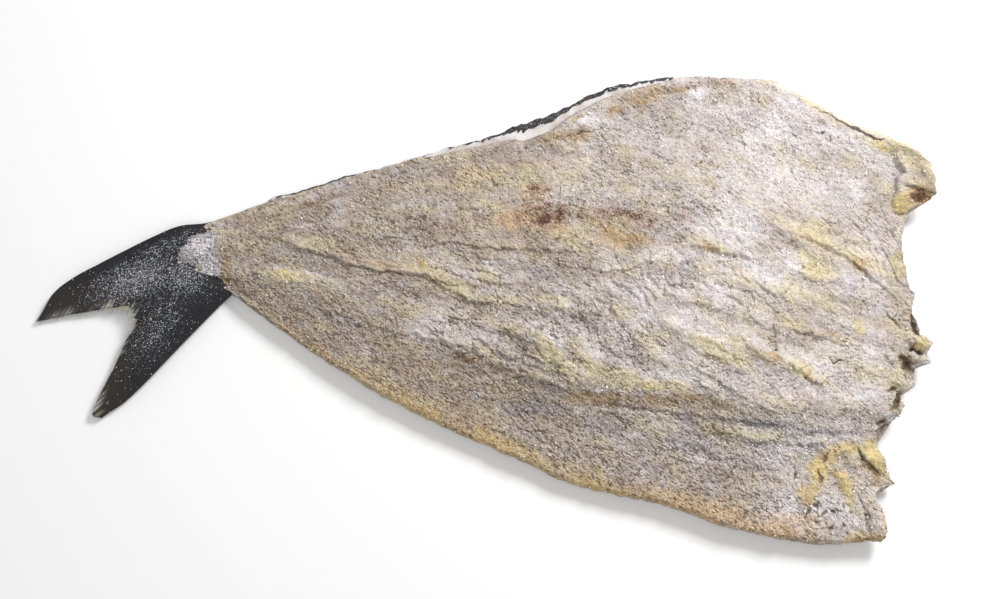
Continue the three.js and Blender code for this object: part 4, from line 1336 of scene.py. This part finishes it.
def flesh_values(at, marks):
    """Values painted on the flesh for its materials: stains, cracks, depth of pits and the grain's flow."""
    x, y, u = at.x, at.y, at.u
    upper, lower = at.v > 0, at.v < 0
    place = moved(x, y, MOVES["stains"])
    stains = {name: patches(*place, spots) for name, spots in STAINS.items()}
    cover = {name: np.clip(stain, 0, 1) for name, stain in stains.items()}
    upper_rim = np.exp(-at.edge / 6) * upper * (smooth(u, 0.68, 0.8) + 0.25 * (1 - smooth(u, 0.2, 0.34)))
    band = 1 - smooth(at.edge + 5 * pattern("rim", x, y), 3, 20)
    lower_rim = band * lower * smooth(u, 0.02, 0.1) * (1 - 0.75 * smooth(u, 0.5, 0.8))
    gilt = hump(at.edge, GILT["width"]) * lower * smooth(u, *GILT["from"]) * (1 - smooth(u, *GILT["to"]))
    gilt = gilt * (0.75 + 0.6 * pattern("gilt", x, y))
    seam = hump(at.inner - 0.4, 1.2) * along(STRIP, u) / max(width for _, width in STRIP) * upper
    crest = blend(CREST_MARKS, vars(marks)) + 0.12 * smooth(marks.swell, 0.1, 1.0)
    crest = crest + 0.25 * smooth(marks.flake_height, 0.3, 0.9)
    # The painted shade in the crust's pits: deeper towards the lower edge and in slate and dull patches,
    # fainter towards the neck, on crests, lit ridge sides and the collar, and in bright, fatty, rolled and
    # hooded parts.
    pits = 1.08 + 0.5 * pattern("pits", x, y) + 0.55 * smooth(at.down, 0.5, 0.75)
    pits = pits - 0.4 * smooth(u, 0.45, 0.7) * (1 - smooth(at.down, 0.6, 0.8))
    pits = pits + blend(PIT_MARKS, vars(marks)) + blend(PIT_STAINS, stains) + blend(PIT_COVER, cover)
    pits = pits * (1 - 0.6 * np.clip(gilt, 0, 1)) * (1 - 0.8 * marks.rolled) * (1 - 0.8 * marks.hooded)
    # Whiteness: salt bloom, less where dull and towards the tail, which is partly painted shade, and more on
    # the lit sides of ridges, which is a painted highlight.
    bloom_and_highlight = 0.6 * stains["bloom_and_highlight"] - stains["dull"] + along(PALE, u) + 0.2 * marks.ridge_lit
    return {
        "bloom_and_highlight": np.clip(bloom_and_highlight, -1, 1.5),
        "yellow": np.clip(crest + stains["yellow"] + 0.7 * upper_rim + 0.5 * lower_rim, 0, 1.2),
        "ochre": np.clip(stains["ochre"] + 0.45 * upper_rim + 0.5 * lower_rim, 0, 1),
        "blood": stains["blood"],
        "peach": stains["peach"] + 0.4 * lower_rim,
        "lemon": stains["lemon"] + gilt,
        "frost": stains["frost"],
        "slate": np.clip(stains["slate"], 0, 1.2),
        "crack": np.clip(blend(CRACK_MARKS, vars(marks)) + 0.5 * seam, 0, 1.2),
        "coarse": np.clip(pits, 0.15, 1.6),
        "hollow": marks.hollow * marks.calm,
        "tone": marks.tone * marks.calm,
        "flow": np.stack([x, at.across + RIPPLE["slant"] * x, 0 * x], -1) * MM,
    }


def flesh_grid(sizes):
    """Top and bottom grids of the flesh in millimetres, and its painted values.

    The top is the bed plus the flesh's height, with one more row below the torn neck edge, so that the
    end face starts upright. The bottom is the bed, just inside the skin and drawn in under the neck.
    """
    at = flesh_plan()
    marks = flesh_marks(at, sizes)
    bed = underside(at.x, at.y, at.u, at.v) + FLESH["bed"]
    top = np.stack([at.x, at.y, bed + flesh_height(at, marks, sizes)], -1)
    strips = FLESH["top"] // FLESH["bottom"]
    neck = at.x[-1]
    window = np.lib.stride_tricks.sliding_window_view(np.pad(neck, strips, mode="edge"), 2 * strips + 1)
    inset = neck - window.min(-1) + FLESH["inset"]
    bottom = np.stack([at.x - inset * smooth(at.u, NECK_START, 1), at.y, bed], -1)[:, ::strips]
    lip = top[-1:] - [LIP["inset"], 0, 0]
    lip[..., 2] = np.maximum(lip[..., 2] - LIP["drop"], bed[-1:] + LIP["least"])
    top = np.concatenate([top, lip])
    bottom = np.concatenate([bottom, bottom[-1:] + [LIP["under"], 0, 0]])
    values = {name: np.concatenate([value, value[-1:]]) for name, value in flesh_values(at, marks).items()}
    return top, bottom, values


class SAITHE_OT_flesh(bpy.types.Operator):
    """Builds the opened, rippled flesh in four cuts from tail to neck"""

    bl_idname = "saithe.flesh"
    bl_label = "Flesh"

    def execute(self, context):
        top, bottom, values = flesh_grid(sizes_in_mm(context))
        material = flesh_finish(context.scene.saithe_colours)
        strips = FLESH["top"] // FLESH["bottom"]
        for number, name in enumerate(CUTS):
            rows = slice(number * FLESH["stations"], (number + 1) * FLESH["stations"] + 1)
            if name == CUTS[-1]:
                rows = slice(rows.start, None)
            points, faces, caps = ring_solid(top[rows], bottom[rows])
            piece = mesh_piece(name, points, faces, material, caps)
            rings = {key: np.concatenate([v[rows], v[rows, ::-strips]], axis=1) for key, v in values.items()}
            paint(piece, **rings)
        SURFACES["flesh"] = (top[:-1], {key: value[:-1] for key, value in values.items()})
        return {"FINISHED"}


class SAITHE_OT_skin(bpy.types.Operator):
    """Builds the dried skin under the flesh, with its dark fringe"""

    bl_idname = "saithe.skin"
    bl_label = "Skin"

    def execute(self, context):
        """A thin plate over the whole underside, whose fringe stands up and out with a ragged edge."""
        thick = sizes_in_mm(context)["skin_thickness"]
        u = np.linspace(0, SKIN["end"], SKIN["stations"] + 1)[:, None]
        v = np.linspace(SKIN["low"], 1, SKIN["columns"] + 1)[None, :]
        u, v = np.broadcast_arrays(u, v)
        x, y, half = plan(u, v)
        width = along(FRINGE, u)
        from_edge = (1 - v) * half
        fringe = np.clip(width, 0, 1) * (1 - smooth(from_edge, 0, 9))
        ragged = pattern("skin edge", x, y)
        wrinkle = pattern("skin wrinkles", x, y) * smooth(u, 0.24, 0.3) * (1 - smooth(from_edge, 10, 16))
        y = y + SKIN["stand"] * fringe * pattern("skin tatters", x, 0.5)
        base = underside(x, y, u, v) + SKIN["stand"] * fringe
        top = np.stack([x, y, base + thick * (1 + 0.4 * fringe) + 0.5 * np.maximum(wrinkle, -0.8)], -1)
        bottom = np.stack([x, y, base], -1)
        points, faces = slab(top, bottom)
        piece = mesh_piece("skin", points, faces, skin_finish(context.scene.saithe_colours))
        dark = np.clip(width, 0, 1) * (1 - smooth(from_edge + 1.2 * ragged, width - 0.8, width + 0.8))
        line = hump(np.abs(v) - 0.4, 0.012) * smooth(u, 0.02, 0.1)
        belly = smooth(np.abs(v), 0.3, 0.85)
        none = np.zeros(v.shape)
        sides = {"inner": (none + 1, none), "line": (none, line)}
        sides |= {"fringe": (dark, dark), "belly": (belly, belly)}
        paint(piece, **{name: np.concatenate(pair).reshape(-1) for name, pair in sides.items()})
        return {"FINISHED"}


def fin_grid(ray_height):
    """Top and bottom grids of the tail fin and its painted values.

    Rays fan from the root line to the forked edge, bowed out at both sides, with ridges along
    them that split in two towards their ends.
    """
    share = np.linspace(0, 1, FIN["steps"] + 1)[:, None]
    ray = np.linspace(0, 1, FIN["rays"] + 1)[None, :]
    share, ray = np.broadcast_arrays(share, ray)
    root = np.array(FIN_ROOT[0]) + (np.array(FIN_ROOT[1]) - np.array(FIN_ROOT[0])) * ray[..., None]
    chord = spline(FIN_TRAILING, ray) - root
    reach = np.linalg.norm(chord, axis=-1)
    chord = chord / reach[..., None]
    outward = np.stack([chord[..., 1], -chord[..., 0]], -1)
    bow = curve(FIN_UPPER_BOW, share) * (1 - ray) - curve(FIN_LOWER_BOW, share) * ray
    fork = hump(ray - FIN["fork_at"], FIN["fork_width"])
    torn = np.abs(noise(ray * FIN["ray_count"] * 1.7, 0.5, 71)) * (0.4 + fork) * FIN["fray"]
    run = share * (reach - torn * smooth(share, 0.6, 1))
    flat = root + chord * run[..., None] + outward * bow[..., None]
    crest_at = FIN_CREST["root"] + (FIN_CREST["fork"] - FIN_CREST["root"]) * share
    roof = np.where(ray < crest_at, ray / crest_at, (1 - ray) / (1 - crest_at))
    floor = through(FIN_FLOOR, share) + FIN_CREST["height"] * roof * share
    ridge = 0.5 + 0.5 * np.cos(2 * np.pi * FIN["ray_count"] * ray)
    split = 0.5 + 0.5 * np.cos(4 * np.pi * FIN["ray_count"] * ray)
    ridge = ridge + (split - ridge) * smooth(share, 0.45, 0.7)
    rays = ray_height * ridge * smooth(share, 0.02, 0.2)
    sides = 0.6 * (np.exp(-ray / 0.03) + np.exp(-(1 - ray) / 0.03))
    ripple = 0.8 * pattern("fin waves", flat[..., 0], flat[..., 1]) * share
    thin = 1 - 0.6 * (1 - smooth(ray, 0, 0.25)) * (1 - smooth(share, 0, 0.2))
    top = floor + thin * through(FIN_THICKNESS, share) + rays + sides + ripple
    bottom = np.maximum(floor - 0.5 * rays + ripple, 0.3)
    powdered = patches(flat[..., 0], flat[..., 1], FIN_DUST)
    pale = smooth(layered(ray * 26, 2 * share, 74, 2), -0.6, 0.5) * smooth(ray, 0.02, 0.12)
    hairy = smooth(layered(ray * 220, 3 * share, 73, 2), -0.7, 0.5)
    edge = smooth(share, 0.945 - 0.03 * pale, 0.995) * pale * hairy
    values = {
        "ray": ridge,
        "tip": smooth(share, 0.6, 1) * (1 - fork),
        "fray": edge,
        "dust": 0.05 + powdered * smooth(ray, 0.02, 0.12),
        "fork": fork,
    }
    grids = [np.concatenate([flat, z[..., None]], -1) for z in (top, bottom)]
    return grids[0], grids[1], values


def fin_hairs(top, fork, total):
    """Points and faces of the frayed ray ends: strands past the rear edge, more and longer in the fork."""
    random = np.random.default_rng(HAIR["seed"])
    weight = 0.2 + fork + 0.5 * smooth(-np.linspace(0, 1, len(fork)), -0.45, -0.3)
    picks = random.choice(len(weight), total, p=weight / weight.sum())
    ends = top[-1, picks] - (0, 0, HAIR["depth"])
    ways = top[-1, picks] - top[-12, picks]
    ways = ways / np.linalg.norm(ways, axis=1, keepdims=True)
    lengths = random.uniform(*HAIR["lengths"], total) + HAIR["in_fork"] * fork[picks] * random.random(total)
    ways = ways + random.normal(0, HAIR["spread"], (total, 3))
    bends = np.stack([*random.normal(0, 0.8, (2, total)), random.uniform(-0.8, 0, total)], -1)
    half_widths = random.uniform(*HAIR["half_widths"], total)
    return strands(ends - HAIR["overlap"] * ways, ways * lengths[:, None], bends, half_widths)


class SAITHE_OT_tail_fin(bpy.types.Operator):
    """Builds the forked tail fin with its rays and their frayed ends"""

    bl_idname = "saithe.tail_fin"
    bl_label = "Tail fin"

    def execute(self, context):
        colours = context.scene.saithe_colours
        top, bottom, values = fin_grid(sizes_in_mm(context)["ray_height"])
        points, faces = slab(top, bottom)
        piece = mesh_piece("tail_fin", points, faces, fin_finish(colours))
        fork = values.pop("fork")
        paint(piece, **{name: np.concatenate([v.ravel(), v.ravel()]) for name, v in values.items()})
        SURFACES["fin"] = (top, values)
        points, faces = fin_hairs(top, fork[-1], context.scene.saithe_sizes.hair_count)
        mesh_piece("fin_hairs", points, faces, hair_finish(colours))
        return {"FINISHED"}


class SAITHE_OT_shreds(bpy.types.Operator):
    """Builds the torn shreds of flesh along the neck"""

    bl_idname = "saithe.shreds"
    bl_label = "Neck shreds"

    def execute(self, context):
        """Short tapered strands that leave the torn end at random heights and droop."""
        random = np.random.default_rng(SHRED["seed"])
        total = context.scene.saithe_sizes.shred_count
        top = SURFACES["flesh"][0]
        place = np.arange(top.shape[1]) / (top.shape[1] - 1)
        weight = 0.1 + hump(place - 0.42, 0.1) + 0.6 * hump(place - 0.3, 0.06)
        picks = random.choice(len(place), total, p=weight / weight.sum())
        none = np.zeros(total)
        roots = top[-3, picks] - np.stack([none + 1, none, random.uniform(*SHRED["depths"], total)], -1)
        roots[:, 2] = np.maximum(roots[:, 2], 2)
        forward = random.uniform(*SHRED["lengths"], total)
        ways = np.stack([forward, random.normal(0, 1.5, total), random.normal(0, 0.7, total)], -1)
        bends = np.stack([none, random.normal(0, 1, total), random.uniform(-1.5, 0.3, total)], -1)
        points, faces = strands(roots, ways, bends, random.uniform(*SHRED["half_widths"], total))
        mesh_piece("neck_shreds", points, faces, bpy.data.materials["frayed_ends"])
        return {"FINISHED"}


def turns(random, total):
    """Random rotation matrices from unit quaternions."""
    q = random.normal(size=(total, 4))
    w, x, y, z = (q / np.linalg.norm(q, axis=1, keepdims=True)).T
    rows = [
        [1 - 2 * (y * y + z * z), 2 * (x * y - z * w), 2 * (x * z + y * w)],
        [2 * (x * y + z * w), 1 - 2 * (x * x + z * z), 2 * (y * z - x * w)],
        [2 * (x * z - y * w), 2 * (y * z + x * w), 1 - 2 * (x * x + y * y)],
    ]
    return np.array(rows).transpose(2, 0, 1)


CUBE = np.array([(x, y, z) for x in (-0.5, 0.5) for y in (-0.5, 0.5) for z in (-0.5, 0.5)])
CUBE_FACES = np.array([(0, 1, 3, 2), (4, 6, 7, 5), (0, 4, 5, 1), (2, 3, 7, 6), (0, 2, 6, 4), (1, 5, 7, 3)])


def scatter(random, grid, weight, total):
    """Random points on a grid, their normals and cells: cells drawn by weight, then a spot inside each."""
    sides = grid[1:, :-1] - grid[:-1, :-1], grid[:-1, 1:] - grid[:-1, :-1]
    shares = (weight[:-1, :-1] * np.linalg.norm(np.cross(*sides), axis=-1)).ravel()
    picks = random.choice(shares.size, total, p=shares / shares.sum())
    i, j = np.unravel_index(picks, (grid.shape[0] - 1, grid.shape[1] - 1))
    a, b = random.random((2, total, 1))
    low = grid[i, j] * (1 - b) + grid[i, j + 1] * b
    high = grid[i + 1, j] * (1 - b) + grid[i + 1, j + 1] * b
    return low * (1 - a) + high * a, normals_of(grid)[i, j], (i, j)


class SAITHE_OT_salt(bpy.types.Operator):
    """Scatters salt grains over the flesh and the tail fin"""

    bl_idname = "saithe.salt"
    bl_label = "Salt grains"

    def execute(self, context):
        """Jittered cubes at random turns, half sunk in the surface, more where the salt has bloomed."""
        random = np.random.default_rng(SALT["seed"])
        sizes = sizes_in_mm(context)
        total = context.scene.saithe_sizes.salt_count
        flesh, values = SURFACES["flesh"]
        weight = 0.5 + np.clip(values["bloom_and_highlight"], 0, 1) + 0.6 * values["slate"]
        weight = weight * (1 - np.clip(values["crack"], 0, 1))
        weight = weight + 6 * patches(flesh[..., 0], flesh[..., 1], FROST)
        fin, fin_values = SURFACES["fin"]
        on_fin = total // SALT["fin_part"]
        spots, ups, cell = scatter(random, flesh, weight, total - on_fin)
        fin_spots, fin_ups, _ = scatter(random, fin, 0.02 + fin_values["dust"] ** 2, on_fin)
        spots, ups = np.concatenate([spots, fin_spots]), np.concatenate([ups, fin_ups])
        span = sizes["salt_large"] - sizes["salt_small"]
        size = sizes["salt_small"] + span * random.random(total) ** SALT["rarity"]
        size[-on_fin:] = random.uniform(*SALT["fin_edges"], on_fin)
        shape = 1 + SALT["shape"] * random.uniform(-1, 1, (total, 1, 3))
        wear = 1 + SALT["corners"] * random.uniform(-1, 1, (total, 8, 1))
        corners = CUBE[None] * shape * size[:, None, None] * wear
        corners = np.einsum("nij,nkj->nki", turns(random, total), corners)
        points = corners + (spots + SALT["lift"] * size[:, None] * ups)[:, None]
        faces = (np.arange(total)[:, None, None] * 8 + CUBE_FACES[None]).reshape(-1, 4)
        finish = salt_finish(context.scene.saithe_colours)
        piece = mesh_piece("salt_grains", points.reshape(-1, 3), faces.tolist(), finish)
        piece.data.shade_flat()
        clear = random.uniform(0.0, 0.35, total)
        clear[-on_fin:] = random.uniform(0, 0.5, on_fin)
        paint(piece, clear=np.repeat(clear, 8))
        for name in SALT_STAINS:
            here = values[name][cell]
            fill = np.full((on_fin, *here.shape[1:]), 1.0 if name == "frost" else 0.0)
            paint(piece, **{name: np.repeat(np.concatenate([here, fill]), 8, axis=0)})
        return {"FINISHED"}


# Stage: the floor's half width and height and the lights' sizes and places in metres, the point in
# millimetres that lights and camera aim at, and the camera's sensor width.
FLOOR = {"reach": 3.0, "height": -0.0004}
KEY_LIGHT = (0.36, (0.66, 0.74, 0.8))
FILL_LIGHT = (1.6, (-0.25, -0.5, 1.6))
AIM = (7.6, 3.35, 8.0)
SENSOR = 36


class SAITHE_OT_stage(bpy.types.Operator):
    """Sets the floor, lights and camera"""

    bl_idname = "saithe.stage"
    bl_label = "Stage"

    def execute(self, context):
        scene, stage = context.scene, context.scene.saithe_stage
        finish = Finish("pale_floor")
        finish.feed("Base Color", opaque(scene.saithe_colours.floor))
        finish.feed("Roughness", 0.9)
        mesh = bpy.data.meshes.new("floor")
        reach, height = FLOOR["reach"], FLOOR["height"]
        corners = [(x * reach, y * reach, height) for x, y in ((-1, -1), (1, -1), (1, 1), (-1, 1))]
        mesh.from_pydata(corners, [], [(0, 1, 2, 3)])
        mesh.materials.append(finish.material)
        floor = bpy.data.objects.new("floor", mesh)
        scene.collection.objects.link(floor)

        target = Vector(AIM) * MM
        self.light("key", stage.key_power, *KEY_LIGHT, target)
        self.light("fill", stage.fill_power, *FILL_LIGHT, target)
        world = bpy.data.worlds.new("even_light")
        world.use_nodes = True
        world.node_tree.nodes["Background"].inputs["Color"].default_value = (1, 1, 1, 1)
        world.node_tree.nodes["Background"].inputs["Strength"].default_value = stage.sky
        scene.world = world
        scene.view_settings.view_transform = "Standard"

        lens = bpy.data.cameras.new("camera")
        lens.sensor_width = SENSOR
        lens.lens = SENSOR * stage.distance / stage.view_width
        camera = bpy.data.objects.new("camera", lens)
        back = Vector((0, -math.cos(stage.elevation), math.sin(stage.elevation)))
        camera.location = target + back * stage.distance
        camera.rotation_euler = (-back).to_track_quat("-Z", "Y").to_euler()
        scene.collection.objects.link(camera)
        scene.camera = camera
        return {"FINISHED"}

    def light(self, name, power, size, place, target):
        """A square area light at a place, aimed at the target."""
        lamp = bpy.data.lights.new(name, "AREA")
        lamp.energy = power
        lamp.size = size
        holder = bpy.data.objects.new(name, lamp)
        holder.location = place
        holder.rotation_euler = (target - Vector(place)).to_track_quat("-Z", "Y").to_euler()
        bpy.context.scene.collection.objects.link(holder)


class SAITHE_PT_panel(bpy.types.Panel):
    """Lists the fish's pieces and settings"""

    bl_label = "Salted Dried Saithe"
    bl_space_type = "VIEW_3D"
    bl_region_type = "UI"
    bl_category = "Saithe"

    def draw(self, context):
        for operator in OPERATORS:
            self.layout.operator(operator.bl_idname)
        for group in (context.scene.saithe_sizes, context.scene.saithe_colours, context.scene.saithe_stage):
            box = self.layout.box()
            for name in group.__annotations__:
                box.prop(group, name)


GROUPS = {"saithe_sizes": SaitheSizes, "saithe_colours": SaitheColours, "saithe_stage": SaitheStage}
OPERATORS = (
    SAITHE_OT_flesh, SAITHE_OT_skin, SAITHE_OT_tail_fin, SAITHE_OT_shreds, SAITHE_OT_salt, SAITHE_OT_stage,
)
CLASSES = (*GROUPS.values(), *OPERATORS, SAITHE_PT_panel)


def register():
    for cls in CLASSES:
        bpy.utils.register_class(cls)
    for name, group in GROUPS.items():
        setattr(bpy.types.Scene, name, bpy.props.PointerProperty(type=group))


def unregister():
    for name in GROUPS:
        delattr(bpy.types.Scene, name)
    for cls in reversed(CLASSES):
        bpy.utils.unregister_class(cls)


def main():
    """Builds every piece and the stage."""
    register()
    bpy.ops.saithe.flesh()
    bpy.ops.saithe.skin()
    bpy.ops.saithe.tail_fin()
    bpy.ops.saithe.shreds()
    bpy.ops.saithe.salt()
    bpy.ops.saithe.stage()


if __name__ == "__main__":
    main()
